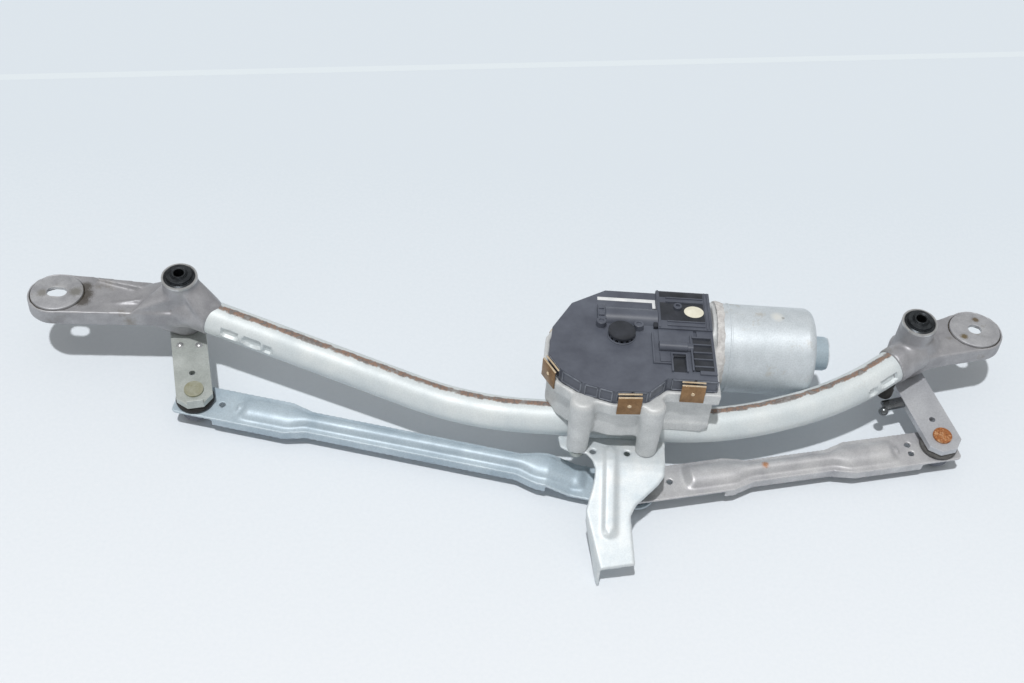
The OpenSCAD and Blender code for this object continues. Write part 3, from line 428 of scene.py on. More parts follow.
collar_r = 12.2
left_end, left_bend = tube_path[:2]
right_bend, right_end = tube_path[-2:]
left_ridge = [left_pivot + Vector(at) * mm
              for at in ((-30, -15, 5), (-30, -16, -7), (-13, -14, -9), (-23, -5, 4))]
left_crest = [left_end + Vector(at) * mm for at in ((8.5, -1.5, 11.2), (9, 2, 10))]
gussets = {"left": [gusset(left_pivot, 36, 65, collar(left_end, left_bend, 2, collar_r) + left_crest),
                    gusset(left_pivot, 36, 60, left_ridge)],
           "right": [gusset(right_pivot, 34, 49, collar(right_end, right_bend, -1, collar_r)
                            + collar(right_end, right_bend, 7, collar_r))]}
for side, pivot in (("left", left_pivot), ("right", right_pivot)):
    housing = eased_copy(f"{side}_pivot_casting", f"{side}_pivot_housing", cast, voxel=0.7, rounds=16,
                         added=gussets[side])
    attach(housing, "frame")
    rim = turned([(rim_r, barrel_top - 5), (rim_r, barrel_top - 0.2), (rim_r + 0.3, barrel_top + 0.1),
                  (barrel_r - 0.2, barrel_top + 0.1), (barrel_r + 0.1, barrel_top - 0.2),
                  (barrel_r + 0.1, barrel_top - 1.6), (barrel_r - 0.2, barrel_top - 2)],
                 Matrix.Translation((pivot.x, pivot.y, 0)), closed=True, steps=64)
    rim = link_mesh(f"{side}_barrel_rim", rim, machined)
    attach(rim, "frame")

# Ear discs: pressed from zinc-plated sheet and set in rubber rings, which let the frame shake without
# the body. The screws have left pale rings round the holes, and water has left brown stains.
crank_axis = Vector(next(j["axis"] for j in frame["joints"] if j["name"] == "crank_turn"))
lean = Matrix.Rotation(-math.asin(crank_axis.y), 4, "X")
disc_r, disc_t, disc_rise, hole_r, slot_reach = 16.9, 2.2, 6, 4.5, 2.0
stains = {"left": [((-9, -2, 0), 4.0, "#8F8D88", 0.8), ((12, 1, 0), 5.0, "#86847E", 0.8),
                   ((0, 0, 0), 6.5, "#DEDFDF", 0.7)],
          "right": [((2.5, 9.5, 0), 2.7, "#75664F", 0.95), ((-9, -8, 0), 3.0, "#77694D", 0.95),
                    ((0, 0, 0), 6.0, "#D6D8DA", 0.6)]}
for side in ("left", "right"):
    low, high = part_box(f"{side}_ear_disc")
    at = Matrix.Translation((low + high) / 2 + crank_axis * disc_rise * mm) @ lean
    spots = [(at @ (Vector(spot) * mm), *rest) for spot, *rest in stains[side]]
    zinc_disc = weathered(f"{side}_zinc_disc", "#C3C4C7", "#A7A8AC", "#8E887B", roughness=0.4, patch=7,
                          stained=0.58, spots=spots)
    disc = turned([(hole_r, -disc_t), (hole_r, -0.2), (hole_r + 0.2, 0), (disc_r - 0.8, 0),
                   (disc_r - 0.2, -0.3), (disc_r, -0.9), (disc_r, -disc_t)], closed=True, steps=64)
    for vert in disc.verts:
        if side == "left" and vert.co.xy.length < (hole_r + 1) * mm:
            vert.co.x += math.copysign(slot_reach * mm, vert.co.x)
    disc.transform(at)
    disc = link_mesh(f"{side}_pressed_disc", disc, zinc_disc)
    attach(disc, "frame")
    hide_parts(f"{side}_ear_disc")


# Rubber pieces: ear rings, rim seals, socket boots, gasket and buffer, moulded in black rubber.
# Their skin is nearly matt, with dust in it.
def moulded(name, pale, dull, roughness, patch=15, grain=0.6, bump=0.06):
    """A moulded plastic or rubber; patch and grain are the sizes of its dust and its grain in mm."""
    material, tree, shader, place = new_material(name)
    dust = add(tree, "ShaderNodeTexNoise", {"Vector": place, "Scale": 1000 / patch, "Detail": 6.0,
                                            "Roughness": 0.65})
    fine = add(tree, "ShaderNodeTexNoise", {"Vector": place, "Scale": 1000 / grain, "Detail": 2.0})
    tone = add(tree, "ShaderNodeValToRGB", {"Fac": dust.outputs["Fac"]})
    tree.links.new(paint(tone, [(0.35, dull), (0.7, pale)]), shader.inputs["Base Color"])
    relief = add(tree, "ShaderNodeBump", {"Height": fine.outputs["Fac"], "Strength": 0.4,
                                          "Distance": bump * mm})
    tree.links.new(relief.outputs["Normal"], shader.inputs["Normal"])
    shader.inputs["Roughness"].default_value = roughness
    return material


rubber = moulded("dusty_rubber", "#2E2D2B", "#161616", 0.6)
grimy_rubber = moulded("grimy_rubber", "#4A4234", "#26221B", 0.75, patch=5)

# Spindle heads: each spindle ends in a blackened, knurled cone that bites into its wiper arm.
# It has turned steps round a tapped hole and a dished spring washer under it, and it turns with its lever.
# The blackening leaves the steel nearly black, with soft glints on the turned edges.
dark_steel = weathered("blackened_steel", "#595D61", "#34373A", "#5F5B54", roughness=0.28, metallic=0.85,
                       patch=4, grain=0.5)
head_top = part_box("left_spindle")[1].z / mm
thread_r, head_r, washer_r = 3.4, 8.2, 10.0
head_steps, step_out, step_down = 6, 0.66, 0.42
knurls, knurl_depth = 40, 0.03
cone = [(thread_r, head_top - 5), (thread_r, head_top + 0.9), (thread_r + 0.4, head_top + 1.2)]
for step in range(head_steps):
    outer = thread_r + 1.1 + step_out * step
    high = head_top + 1.2 - step_down * step
    cone += [(outer - 0.2, high), (outer, high - 0.15), (outer + 0.05, high - 0.7)]
cone += [(head_r + 0.1, head_top - 1.4), (head_r + 0.25, head_top - 1.8), (head_r + 0.25, head_top - 3.2),
         (head_r, head_top - 3.4)]
washer = [(head_r - 0.2, head_top - 2.2), (washer_r - 0.4, head_top - 3.2), (washer_r, head_top - 3.2),
          (washer_r, head_top - 3.8), (head_r - 0.2, head_top - 3.4)]
for side, pivot in (("left", left_pivot), ("right", right_pivot)):
    at = Matrix.Translation((pivot.x, pivot.y, 0))
    head = turned(cone, steps=2 * knurls)
    for vert in head.verts:
        reach = Vector((vert.co.x, vert.co.y)).length
        if reach > head_r * mm:
            tooth = round(math.atan2(vert.co.y, vert.co.x) / math.pi * knurls) % 2
            vert.co.xy *= 1 + knurl_depth * tooth
    head.transform(at)
    head = link_mesh(f"{side}_spindle_head", joined([head, turned(washer, at, closed=True)]), dark_steel)
    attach(head, f"{side}_lever")

# Gear housing: pressure-cast aluminium that closes round the worm wheel, with two legs to the bracket,
# a wall over the tube and the flange for the motor. It is paler and more matt than the pivot housings.
# Its edges are lightened by wear and painted highlight, and its corners darkened by dirt and painted shade.
housing_cast = weathered("cast_gear_housing", "#DBDDDD", "#C2C5C6", "#A19A8E", roughness=0.58, metallic=0.25,
                         patch=16, grain=0.8, stained=0.64, bump=0.1, edge_wear_and_highlight="#E6E6E5", hollow_dirt_and_shade="#716A5E")
motor = Matrix.Translation(shaft) @ lean
house_corners = [(62, 46), (-8, 46), (-31, 31), (-44, 6), (-46, -20), (-38, -34), (-24, -45), (-4, -51),
                 (18, -49.5), (30, -37), (62, -37)]
# The flange is a lip round the outline: how far out and in it reaches, and its lower and upper height
lip_out, lip_in, lip_low, lip_high = 0.9, -2.3, 47.5, 55.7
flange = bmesh.new()
rings = []
for outward, z in ((lip_out, lip_low), (lip_out, lip_high), (lip_in, lip_high), (lip_in, lip_low)):
    rings.append([])
    for before, here, after in zip(house_corners[-1:] + house_corners, house_corners,
                                   house_corners[1:] + house_corners[:1]):
        a = (Vector(here) - Vector(before)).normalized()
        b = (Vector(after) - Vector(here)).normalized()
        corner = Vector(here) + Vector((a.y + b.y, -a.x - b.x)) / (1 + a.dot(b)) * outward
        rings[-1].append(flange.verts.new(motor @ Vector((corner.x * mm, corner.y * mm, z * mm))))
for one, two in zip(rings, rings[1:] + rings[:1]):
    for i in range(len(one)):
        flange.faces.new((one[i - 1], one[i], two[i], two[i - 1]))
bmesh.ops.recalc_face_normals(flange, faces=flange.faces)
leg_profile = [(0, 38), (7.7, 38), (7.9, 53), (6.4, 55.4), (0, 55.4)]
leg_places = ((-22, -47), (21, -47))
legs = [turned(leg_profile, motor @ Matrix.Translation((x * mm, y * mm, 0))) for x, y in leg_places]
gear_case = eased_copy("gear_case_casting", "gear_housing", housing_cast, voxel=0.9, rounds=8,
                       added=[flange, *legs])
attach(gear_case, "frame")

# Gear cover: glass-filled black plastic, moulded with a half-round bar, posts, a connector block with ribs
# and a rim of open frames, and held on by bronze clips.
cover_top, ledge_top, block_top = 65.0, 55.0, 67.4
wall_inset = 2.5


def block(low, high, edge=0.3, frame_at=motor):
    """A bmesh box between two corners in mm, with its edges eased, set in a frame."""
    bm = bmesh.new()
    bmesh.ops.create_cube(bm, size=1.0)
    size = Vector(high) - Vector(low)
    middle = (Vector(high) + Vector(low)) / 2
    bmesh.ops.scale(bm, verts=bm.verts, vec=size * mm)
    bmesh.ops.translate(bm, verts=bm.verts, vec=middle * mm)
    bmesh.ops.bevel(bm, geom=list(bm.edges), offset=edge * mm, affect="EDGES", segments=2, profile=0.5,
                    material=-1)
    bm.transform(frame_at)
    return bm


# Glass-filled plastic: a black that has greyed to slate, glossier and darker on the cap; darker glossy plates
# between the connector's ribs and slats and in its pockets are painted shade, and paler rim frames painted
# highlight.
black_plastic = moulded("black_moulded_plastic", "#636873", "#50545F", 0.4, patch=22)
gloss_plastic_and_pocket_shade = moulded("glossy_black_plastic_and_painted_shade", "#3B3E46", "#272A2F", 0.3, patch=12)
pale_edge_highlight = moulded("plastic_edge_painted_highlight", "#8B909A", "#5C616B", 0.4, patch=5)

# Two hollow posts, and a raised block with two lugs behind the left one
details = []
post_r, post_bore = 3.0, 1.5
for x, y in ((-11, 9.5), (12.5, 8.5)):
    post = motor @ Matrix.Translation((x * mm, y * mm, cover_top * mm))
    details.append(turned([(post_bore, 1.5), (post_bore, 4.4), (1.8, 4.7), (post_r - 0.2, 4.7),
                           (post_r + 0.15, 4.4), (post_r + 0.25, 0.6), (post_r + 0.9, -0.2),
                           (post_bore, -0.2)], post, closed=True, steps=32))
details.append(block((-13.2, 12.0, cover_top - 0.5), (-7.8, 26.2, cover_top + 4.2), edge=0.8))
details.append(block((-12.6, 14.0, cover_top + 4), (-9.0, 17.0, cover_top + 5.4)))
details.append(block((-12.6, 20.5, cover_top + 4), (-9.0, 23.8, cover_top + 5.0)))
# Ribs across and along the connector block, and a low wall on its left side
for y in (36.8, 33.2, 14.6, 10.8):
    details.append(block((31.0, y - 0.5, block_top - 0.5), (55.0, y + 0.5, block_top + 0.8)))
for x in (56.2, 58.2):
    details.append(block((x - 0.5, 8.5, block_top - 0.5), (x + 0.5, 43.0, block_top + 0.7)))
details.append(block((25.4, 8.4, block_top - 2), (26.6, 43.2, block_top + 0.9)))
# Steps round the half-round bar, the frame of the square pocket and the slats beside it
details.append(block((20.5, -21.8, cover_top - 0.5), (21.8, 5.0, cover_top + 1.5)))
details.append(block((20.5, -22.4, cover_top - 0.5), (32.0, -21.2, cover_top + 1.2)))
details.append(block((25.0, -20.5, cover_top - 0.5), (32.0, -12.0, cover_top + 0.9)))
for x in (32.2, 41.4):
    details.append(block((x - 0.6, -29.0, cover_top - 0.5), (x + 0.6, -12.6, cover_top + 1.7)))
details.append(block((32.2, -13.8, cover_top - 0.5), (41.4, -12.6, cover_top + 1.7)))
for y in (1.5, -4.9, -12.0, -18.0, -24.5):
    details.append(block((45.6, y - 0.5, cover_top + 0.8), (57.5, y + 0.5, cover_top + 2.2)))
details.append(block((44.2, -28.0, cover_top + 0.8), (45.4, 3.0, cover_top + 2.4)))
# A boss on the connector block, the half-round bar, and the toothed ring under the vent cap
boss_at = motor @ Matrix.Translation((38.4 * mm, 28.5 * mm, block_top * mm))
details.append(turned([(0, 0.2), (1.2, 0.2), (1.4, 1.6), (2.4, 1.6), (2.8, 1.2), (2.8, -0.2)], boss_at,
                      steps=24))
bar_at = (motor @ Matrix.Translation((24.6 * mm, -7.4 * mm, (cover_top + 1) * mm))
          @ Matrix.Rotation(math.pi / 2, 4, "Y"))
details.append(turned([(0, 0), (3.0, 0), (3.3, 0.3), (3.3, 17.5), (3.0, 17.8), (0, 17.8)], bar_at,
                      steps=40))
cap_at = motor @ Matrix.Translation((1.6 * mm, 1.2 * mm, cover_top * mm))
cap_teeth = 14
for step in range(cap_teeth):
    details.append(block((6.6, -0.8, -0.2), (8.1, 0.8, 2.4),
                         frame_at=cap_at @ Matrix.Rotation(2 * math.pi * step / cap_teeth, 4, "Z")))
details.append(turned([(8.0, -0.3), (8.9, -0.3), (8.9, 0.5), (8.5, 0.9), (8.0, 0.9)], cap_at, closed=True))
trim = link_mesh("cover_mouldings", joined(details), black_plastic)
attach(trim, "frame")
cap = turned([(0, -0.2), (6.6, -0.2), (6.6, 2.6), (8.3, 2.8), (8.6, 3.2), (8.6, 4.6), (8.1, 5.2),
              (0, 5.2)], cap_at, steps=64)
cap = link_mesh("vent_cap", cap, gloss_plastic_and_pocket_shade)
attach(cap, "frame")
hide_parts("cover_cap")
# Painted shade: darker glossy plates between the connector's ribs and slats and in its pockets.
pocket_shade = [block((27.2, 15.6, block_top - 0.3), (55.2, 32.4, block_top + 0.15), 0.1),
          block((27.2, 37.8, block_top - 0.3), (55.2, 42.8, block_top + 0.15), 0.1),
          block((33.0, -28.5, cover_top - 0.3), (40.7, -16.0, cover_top + 0.2), 0.1),
          block((33.6, -15.9, cover_top - 0.3), (40.7, -13.9, cover_top + 0.9), 0.1),
          block((46.0, -27.5, cover_top + 0.9), (57.8, 2.5, cover_top + 1.35), 0.1),
          block((22.2, 9.0, cover_top - 0.3), (24.8, 26.0, cover_top + 2.4), 0.3)]
pocket_shade = link_mesh("connector_painted_shade", joined(pocket_shade), gloss_plastic_and_pocket_shade)
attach(pocket_shade, "frame")

# Cover rim: along the cover's front wall run open rectangular frames, moulded with it.
# They are painted paler than the cover, a painted highlight along its edges.
rail, rail_inset = 0.8, 0.6
first_gap, end_gaps, frame_gap = 1.6, 2.2, 1.0
longest_frame = 18
rim_frames = []
count = len(house_corners)
for index in range(4, 10):
    a, b = Vector(house_corners[index]), Vector(house_corners[(index + 1) % count])
    side = (b - a).normalized()
    inward = Vector((-side.y, side.x))
    at = motor @ Matrix(((side.x, inward.x, 0, a.x * mm), (side.y, inward.y, 0, a.y * mm),
                         (0, 0, 1, 0), (0, 0, 0, 1)))
    length = (b - a).length
    parts = 2 if length > longest_frame else 1
    for part in range(parts):
        low_x = first_gap + part * (length - end_gaps) / parts
        high_x = low_x + (length - end_gaps) / parts - frame_gap
        front, back = wall_inset - 0.5, wall_inset + 0.4
        for z in (ledge_top + rail_inset, cover_top - 1.4):
            rim_frames.append(block((low_x, front, z), (high_x, back, z + rail), edge=0.2, frame_at=at))
        for x in (low_x, high_x - rail):
            rim_frames.append(block((x, front, ledge_top + rail_inset),
                                    (x + rail, back, cover_top - rail_inset), edge=0.2, frame_at=at))
rim_frames = link_mesh("cover_rim_frames", joined(rim_frames), pale_edge_highlight)
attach(rim_frames, "frame")

# Marks on the cover: a bare white strip along its back, with a short arm at the right end, and a bare
# oval sticker of cream paper on the connector block.
paper = moulded("white_paper_strip", "#F1F2F2", "#DADDDF", 0.6, patch=6)
cream_paper = moulded("cream_paper_sticker", "#F1EEDD", "#DFDAC6", 0.6, patch=5)
strip = joined([block((-12.6, 33.6, cover_top - 0.1), (24.6, 36.6, cover_top + 0.25), edge=0.1),
                block((22.6, 28.0, cover_top - 0.1), (24.6, 33.9, cover_top + 0.25), edge=0.1)])
strip = link_mesh("white_strip", strip, paper)
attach(strip, "frame")
sticker_at = (motor @ Matrix.Translation((48.6 * mm, 24.6 * mm, block_top * mm))
              @ Matrix.Diagonal((6.3, 5.4, 1.0, 1.0)))
sticker = turned([(0, 0.25), (0.97, 0.25), (1.0, 0.2), (1.0, -0.1)], sticker_at, steps=40)
sticker = link_mesh("oval_sticker", sticker, cream_paper)
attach(sticker, "frame")

# Cover clips: strips of spring bronze bent over the cover and under the housing's ledge.
# Each has two folds along its upper edge and one pressed pip: the bronze is brown and half dull,
# and the folds and pip are painted near white, partly rubbed and partly a painted highlight.
bronze = weathered("bronze_spring", "#9C7A55", "#77593B", "#5A432C", roughness=0.32, metallic=0.55, patch=7)
# Painted highlight with some wear: a near-white copy of the bronze for the folds and pips.
rubbed_and_lit_bronze = weathered("rubbed_bronze_fold_painted_highlight", "#EBDCC2", "#CDB08A", "#8A6B45", roughness=0.26,
                          metallic=0.4, patch=5)
clip_seats = [(5.5, -50.35, 4), (45, -37, 0), (-42, -27, -60), (-37.5, 18.5, -117.5), (-19.5, 38.5, -147),
              (44, 46, 180)]
clip_half, clip_low, front_clip_high, back_clip_high = 7.4, 50.0, 63.2, 54.0
faces, folds = [], []
for x, y, angle in clip_seats:
    clip_high = front_clip_high if y < 0 else back_clip_high
    at = motor @ Matrix.Translation((x * mm, y * mm, 0)) @ Matrix.Rotation(math.radians(angle), 4, "Z")
    faces.append(block((-clip_half, -1.9, clip_low), (clip_half, -1.1, clip_high), 0.3, at))
    faces.append(block((-clip_half, -1.9, clip_low - 0.4), (clip_half, 2.4, clip_low + 0.4), 0.3, at))
    for y_fold, z_fold in ((-1.2, clip_high), (0.9, clip_high + 0.9)):
        folds.append(block((-clip_half, y_fold - 0.55, z_fold - 0.5),
                           (clip_half, y_fold + 0.55, z_fold + 0.5), 0.4, at))
    pip = at @ Matrix.Translation((0, -1.9 * mm, 0.5 * (clip_low + clip_high) * mm))
    folds.append(turned([(0, 0.8), (0.7, 0.6), (1.2, 0.2), (1.4, -0.2)],
                        pip @ Matrix.Rotation(math.pi / 2, 4, "X"), steps=20))
faces = link_mesh("spring_clips", joined(faces), bronze)
folds = link_mesh("clip_folds", joined(folds), rubbed_and_lit_bronze)
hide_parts("cover_clips")
for piece in (faces, folds):
    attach(piece, "frame")

# Motor can: deep-drawn steel, zinc plated, with a round end and a bearing nose. A bead rolled in beside the
# flange holds it, and the joint is filled with pale sealing resin, put on by hand. The zinc is a cloudy,
# nearly white grey, bluer on the nose.
can_axis = joint_at["armature_spin"]
can_x, can_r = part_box("motor_can")[0].x / mm, 29.0
can_at = Matrix.Translation((0, can_axis.y, can_axis.z)) @ Matrix.Rotation(math.pi / 2, 4, "Y")
can_zinc = weathered("drawn_zinc_can", "#DCE3E8", "#C8D0D5", "#B9B2A2", roughness=0.5, metallic=0.3, patch=16,
                     stained=0.6, spots=[((0.1625, 0.0600, 0.070), 5.0, "#EDEDE8", 0.8),
                                         ((0.1660, 0.0590, 0.071), 1.5, "#5E574C", 0.9)])
blue_zinc = weathered("blue_zinc_plate", "#CAD7DF", "#AFC1CC", "#8F9490", roughness=0.4, metallic=0.35,
                      patch=26)
nose_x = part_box("motor_can")[1].x / mm
nose = turned([(0, nose_x + 0.3), (8.6, nose_x + 0.3), (10.3, nose_x - 0.4), (11.2, nose_x - 2.2),
               (11.2, nose_x - 10), (11.9, nose_x - 11.6), (14, nose_x - 12.2)], can_at, steps=64)
nose = link_mesh("bearing_cup", nose, blue_zinc)
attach(nose, "frame")
bead = turned([(can_r - 0.4, can_x + 8.0), (can_r + 0.35, can_x + 8.6), (can_r + 0.35, can_x + 9.6),
               (can_r - 0.4, can_x + 10.2)], can_at, closed=True, steps=96)
bead = link_mesh("can_bead", bead, can_zinc)
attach(bead, "frame")
resin = moulded("pale_sealing_resin", "#E6E5E3", "#BBB8B6", 0.7, patch=3, grain=0.9, bump=0.2)
smear = turned([(can_r - 0.3, can_x - 0.2), (can_r + 1.1, can_x - 0.2), (can_r + 1.3, can_x + 1.2),
                (can_r + 0.9, can_x + 2.6), (can_r + 0.35, can_x + 4.0), (can_r - 0.3, can_x + 4.6)],
               closed=True, steps=120)
# The resin lies unevenly: three waves round the joint, and one thicker blob
blob_turn, blob_half = -1.94, 0.5
for vert in smear.verts:
    turn = math.atan2(vert.co.y, vert.co.x)
    wave = 0.5 * math.sin(3 * turn + 0.7) + 0.3 * math.sin(11 * turn) + 0.2 * math.sin(23 * turn + 1.0)
    out = vert.co.z / mm - can_x
    blob = max(0.0, 1 - ((turn - blob_turn) / blob_half) ** 2)
    vert.co.z += (max(0.0, out - 1) * (0.3 * wave + 0.2) - 5 * blob * (out < 1)) * mm
    vert.co.xy *= 1 + 0.01 * wave * (0 < out < 4) + 0.03 * blob * (0.2 < out < 4)
smear.transform(can_at)
smear = link_mesh("sealing_resin", smear, resin)
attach(smear, "frame")
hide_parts("can_sealant")

# Support bracket: pressed from 2 mm galvanised sheet, with a bead down its tongue and a turned-down flange,
# and screwed up into the housing's legs. The sheet is smooth and almost white.
white_zinc = weathered("white_galvanised_sheet", "#D9DCDC", "#C2CCD2", "#ABA799", roughness=0.46,
                       metallic=0.2, patch=20, specked=0.95, bump=0.02)
bracket = eased_copy("pressed_bracket", "support_bracket", white_zinc, voxel=0.6, rounds=18, filled=0.5,
                     rounded=0.3)
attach(bracket, "frame")

# Levers: stamped from 4.5 mm steel and staked on their spindles; the left one has two weld pips and
# a bent lip. Zinc has gone dull on both.
zinc = weathered("zinc_plate", "#CACFCB", "#ABB1AD", "#8B8470", patch=14)
grey_zinc = weathered("grey_zinc_plate", "#CFD1D5", "#B6B8BD", "#9C9892", patch=22)
lever_top = 24.0
pips = []
for x, y in ((-1.4, -19.2), (10.9, -18.2)):
    at = Matrix.Translation((left_pivot.x + x * mm, left_pivot.y + y * mm, 0))
    pips.append(turned([(0, lever_top + 1.2), (1.1, lever_top + 1.0), (2.1, lever_top + 0.4),
                        (2.6, lever_top - 0.2)], at, steps=24))
# The bent lip stands across the lever's end, past the ball
left_ball = joint_at["left_rod_turn"]
left_at = (Matrix.Translation((left_ball.x, left_ball.y, 0))
           @ Matrix.Rotation(math.atan2(left_ball.y - left_pivot.y, left_ball.x - left_pivot.x), 4, "Z"))
pips.append(block((9.4, -5.2, lever_top - 0.6), (11.4, 5.2, lever_top + 1.6), 0.5, left_at))
pips = link_mesh("left_lever_pips", joined(pips), machined)
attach(pips, "left_lever")

# Lever stop: the right lever has a tab with a polished steel ball at its end, and a black rubber stop
# hangs before it from the tube, pushed on to a stud.
right_ball = joint_at["right_rod_turn"]
rest_turn = math.atan2(right_ball.y - right_pivot.y, right_ball.x - right_pivot.x)
lever_at = Matrix.Translation((right_pivot.x, right_pivot.y, 0)) @ Matrix.Rotation(rest_turn, 4, "Z")
ball_at = lever_at @ Matrix.Translation((30.5 * mm, -27.5 * mm, 21.8 * mm))
stop_ball_r = 3.3
polished = weathered("polished_steel", "#85888B", "#64676A", "#4A4C4E", roughness=0.26, metallic=0.85,
                     patch=6)
arc = [(stop_ball_r * math.sin(a), stop_ball_r * math.cos(a)) for a in np.linspace(0, math.pi, 13)]
tab = link_mesh("lever_stop_tab", block((23, -26, 20.6), (30.5, -11, 23.2), 0.6, lever_at), polished)
stop_ball = link_mesh("lever_stop_ball", turned(arc, ball_at, steps=32), polished)
for piece in (tab, stop_ball):
    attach(piece, "right_lever")
stop_at = Matrix.Translation(Vector((right_pivot.x - 16 * mm, right_pivot.y - 26.5 * mm, 0)))
stop = turned([(0, 25.4), (3.2, 25.4), (4.6, 26.4), (5, 28), (5, 32), (4.4, 33), (4.4, 38), (0, 38)], stop_at)
stop = link_mesh("rubber_stop", stop, rubber)
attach(stop, "frame")
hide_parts("rubber_buffer")

# Rods and ball joints: pressed sheet channels, each with a broad ridge, and plastic sockets snapped on to
# the balls. The left rod's zinc is bluish and the right one's grey, with a spot of rust. The rivet heads of
# the balls have yellowed on the left and rusted on the right.
rust_spot = ((0.1585, -0.0185, 0.0170), 2.8, "#B4763F", 0.85)
# The rods' pale edge colour, strongest along the ridge crests, is painted highlight with some wear.
rod_grey = weathered("dull_zinc_rod", "#D0D0D1", "#AAAAAE", "#8F8578", roughness=0.42, metallic=0.35,
                     patch=20, stained=0.62, edge_wear_and_highlight="#E2E2E4", spots=[rust_spot])
rod_blue = weathered("blue_zinc_rod", "#BFCDD6", "#A3B4C0", "#97948A", roughness=0.5, metallic=0.25,
                     patch=20, stained=0.64, edge_wear_and_highlight="#E0E8EC")
yellowed = weathered("yellowed_rivet", "#B2B3A2", "#9B997E", "#83795F", patch=6)
rusted = weathered("rusted_rivet", "#D38B4E", "#95542A", "#EAC093", roughness=0.7, metallic=0.1, patch=1.5,
                   grain=0.6, stained=0.5, edge_wear_and_highlight="#7A4A2C", specked=0.55)
# A rod's upper face, its half widths at the broad ends and at the waist, and the lengths of an end and
# of the blend to the waist
rod_top, rod_broad, rod_waist, rod_end, rod_blend = 14.0, 12.5, 8.5, 62, 14
# The ridge's distance from the ball, from the crank pin and from the rod's edge, its height and run-out,
# and how flat its crown is
from_ball, from_pin, from_edge, ridge_rise, run_out, flatness = 30, 31, 3.6, 4.2, 5, 2.6
# The left rod drops towards the pin, to pass under the right one
left_drop, drop_from_pin, drop_run = 5.6, 56, 16
low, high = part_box("rod_pin")
pin_at = (low + high) / 2
for side, finish, slot, drop in (("left", rod_blue, "zinc_steel", left_drop),
                                 ("right", rod_grey, "grey_steel", 0)):
    ball = joint_at[f"{side}_rod_turn"]
    way = Vector((pin_at.x - ball.x, pin_at.y - ball.y, 0))
    rod_at = Matrix.Translation((ball.x, ball.y, 0)) @ Matrix.Rotation(math.atan2(way.y, way.x), 4, "Z")
    far = way.length / mm
    ridge = bmesh.new()
    rings = []
    for x in np.linspace(from_ball, far - from_pin, 110):
        inner = min(x, far - x)
        narrowed = min(1.0, max(0.0, (inner - rod_end) / rod_blend))
        half = rod_broad + (rod_waist - rod_broad) * (3 - 2 * narrowed) * narrowed ** 2 - from_edge
        rise = ridge_rise * min(1.0, (x - from_ball) / run_out, (far - from_pin - x) / run_out)
        top = rod_top - drop * min(1.0, max(0.0, (x - far + drop_from_pin) / drop_run))
        crown = [(half * t, top + rise * (1 - abs(t) ** flatness)) for t in np.linspace(1, -1, 15)]
        ring = [(half, top - 1), *crown, (-half, top - 1)]
        rings.append([ridge.verts.new((x * mm, y * mm, z * mm)) for y, z in ring])
    for one, two in zip(rings, rings[1:]):
        for i in range(len(one)):
            ridge.faces.new((one[i - 1], one[i], two[i], two[i - 1]))
    ridge.faces.new(rings[0])
    ridge.faces.new(rings[-1])
    bmesh.ops.recalc_face_normals(ridge, faces=ridge.faces)
    ridge.transform(rod_at)
    rod = eased_copy(f"{side}_pressed_rod", f"{side}_rod", finish, voxel=0.7, rounds=3, added=[ridge])
    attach(rod, f"{side}_rod")
dusty_grey_rubber = moulded("dusty_grey_rubber", "#6E6D6B", "#4A4948", 0.75, patch=5)

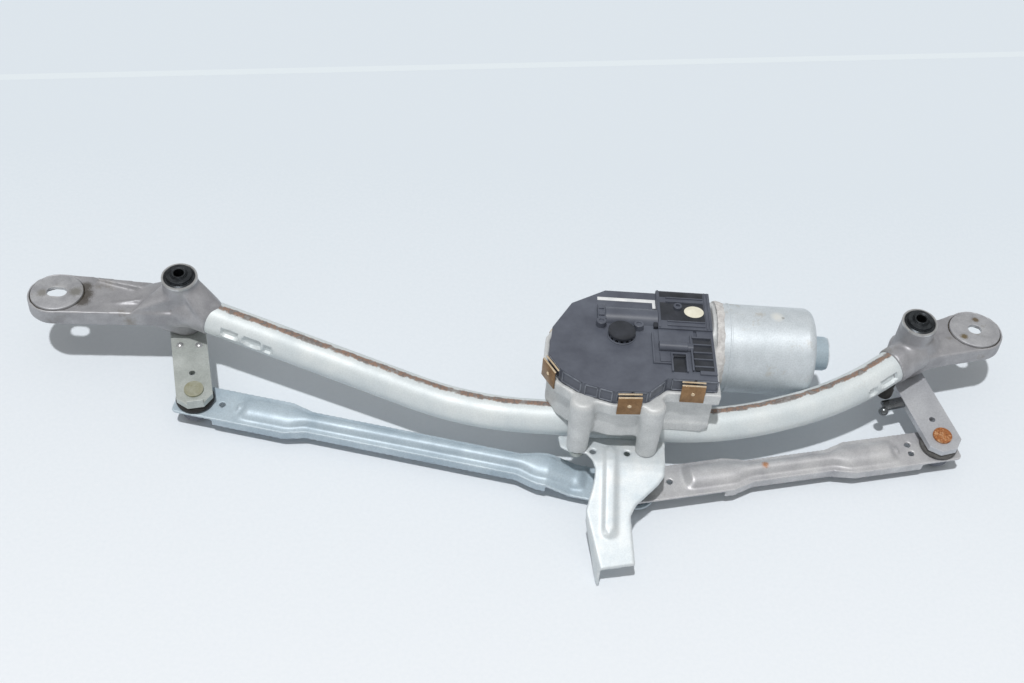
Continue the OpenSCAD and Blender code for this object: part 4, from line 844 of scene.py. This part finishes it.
# Inner and under-side pieces keep their solids' shapes: bushes, magnets, armature, shaft, wheel,
# crank, pin and screws get their own metals and plastics.
wheel_plastic = moulded("natural_nylon", "#E0DCCB", "#C9C3AE", 0.5)
hard_paper = moulded("hard_paper_board", "#7A5232", "#5C3C24", 0.7)
ferrite = moulded("sintered_ferrite", "#4A4A4C", "#333335", 0.7, patch=6)
copper_grey = weathered("wound_armature", "#9A9188", "#7D6A58", "#6B5544", patch=5)
finishes = {
    zinc: ["left_lever", "crank", "crank_nut", "bracket_screws", "saddle_rivets", "output_shaft", "rod_pin"],
    yellowed: ["left_ball_stud"],
    rusted: ["right_ball_stud"],
    grey_zinc: ["right_lever"],
    copper_grey: ["armature"],
    can_zinc: ["motor_can"],
    dark_steel: ["left_spindle", "right_spindle", "left_spindle_clip", "right_spindle_clip", "pin_clip"],
    ferrite: ["field_magnets"],
    bronze: ["left_spindle_bushes", "right_spindle_bushes", "shaft_bush", "can_bearing"],
    hard_paper: ["brush_plate"],
    black_plastic: ["gear_cover", "left_socket", "right_socket", "left_rod_bush", "right_rod_bush"],
    grimy_rubber: ["left_ear_ring", "right_ear_ring"],
    rubber: ["left_rim_seal", "right_rim_seal", "cover_gasket", "left_socket_seal"],
    dusty_grey_rubber: ["right_socket_seal"],
    wheel_plastic: ["worm_wheel"],
}
for finish, names in finishes.items():
    for name in names:
        nodes[name].data.materials.clear()
        nodes[name].data.materials.append(finish)

# Edges: every pressed, turned and moulded edge is a little round. The solids' facets are joined,
# their edges eased, and their round faces shaded smooth.
soft = bpy.data.node_groups.new("smooth_by_angle", "GeometryNodeTree")
soft.interface.new_socket("Geometry", in_out="INPUT", socket_type="NodeSocketGeometry")
soft.interface.new_socket("Geometry", in_out="OUTPUT", socket_type="NodeSocketGeometry")
solid = add(soft, "NodeGroupInput").outputs["Geometry"]
all_smooth = add(soft, "GeometryNodeSetShadeSmooth", {"Geometry": solid}, domain="FACE").outputs["Geometry"]
angle = add(soft, "GeometryNodeInputMeshEdgeAngle").outputs["Unsigned Angle"]
gentle = add(soft, "FunctionNodeCompare", {"A": angle, "B": math.radians(31)}, data_type="FLOAT",
             operation="LESS_EQUAL").outputs["Result"]
by_angle = add(soft, "GeometryNodeSetShadeSmooth", {"Geometry": all_smooth, "Shade Smooth": gentle},
               domain="EDGE")
add(soft, "NodeGroupOutput", {"Geometry": by_angle.outputs["Geometry"]})
edge_mm = {"gear_cover": 0.6, "left_lever": 0.5, "right_lever": 0.5, "motor_can": 0.4, "crank": 0.6}
for name, node in nodes.items():
    weld = node.modifiers.new("weld", "WELD")
    weld.merge_threshold = merge_dist
    flat = node.modifiers.new("flat", "DECIMATE")
    flat.decimate_type = "DISSOLVE"
    flat.angle_limit = math.radians(0.3)
    ease = node.modifiers.new("ease", "BEVEL")
    ease.width = edge_mm.get(name, 0.25) * mm
    ease.segments = 2
    ease.limit_method = "ANGLE"
    ease.angle_limit = math.radians(35)
    shade = node.modifiers.new("shade", "NODES")
    shade.node_group = soft
    level = node.modifiers.new("level", "WEIGHTED_NORMAL")
    level.keep_sharp = True
    level.weight = 90
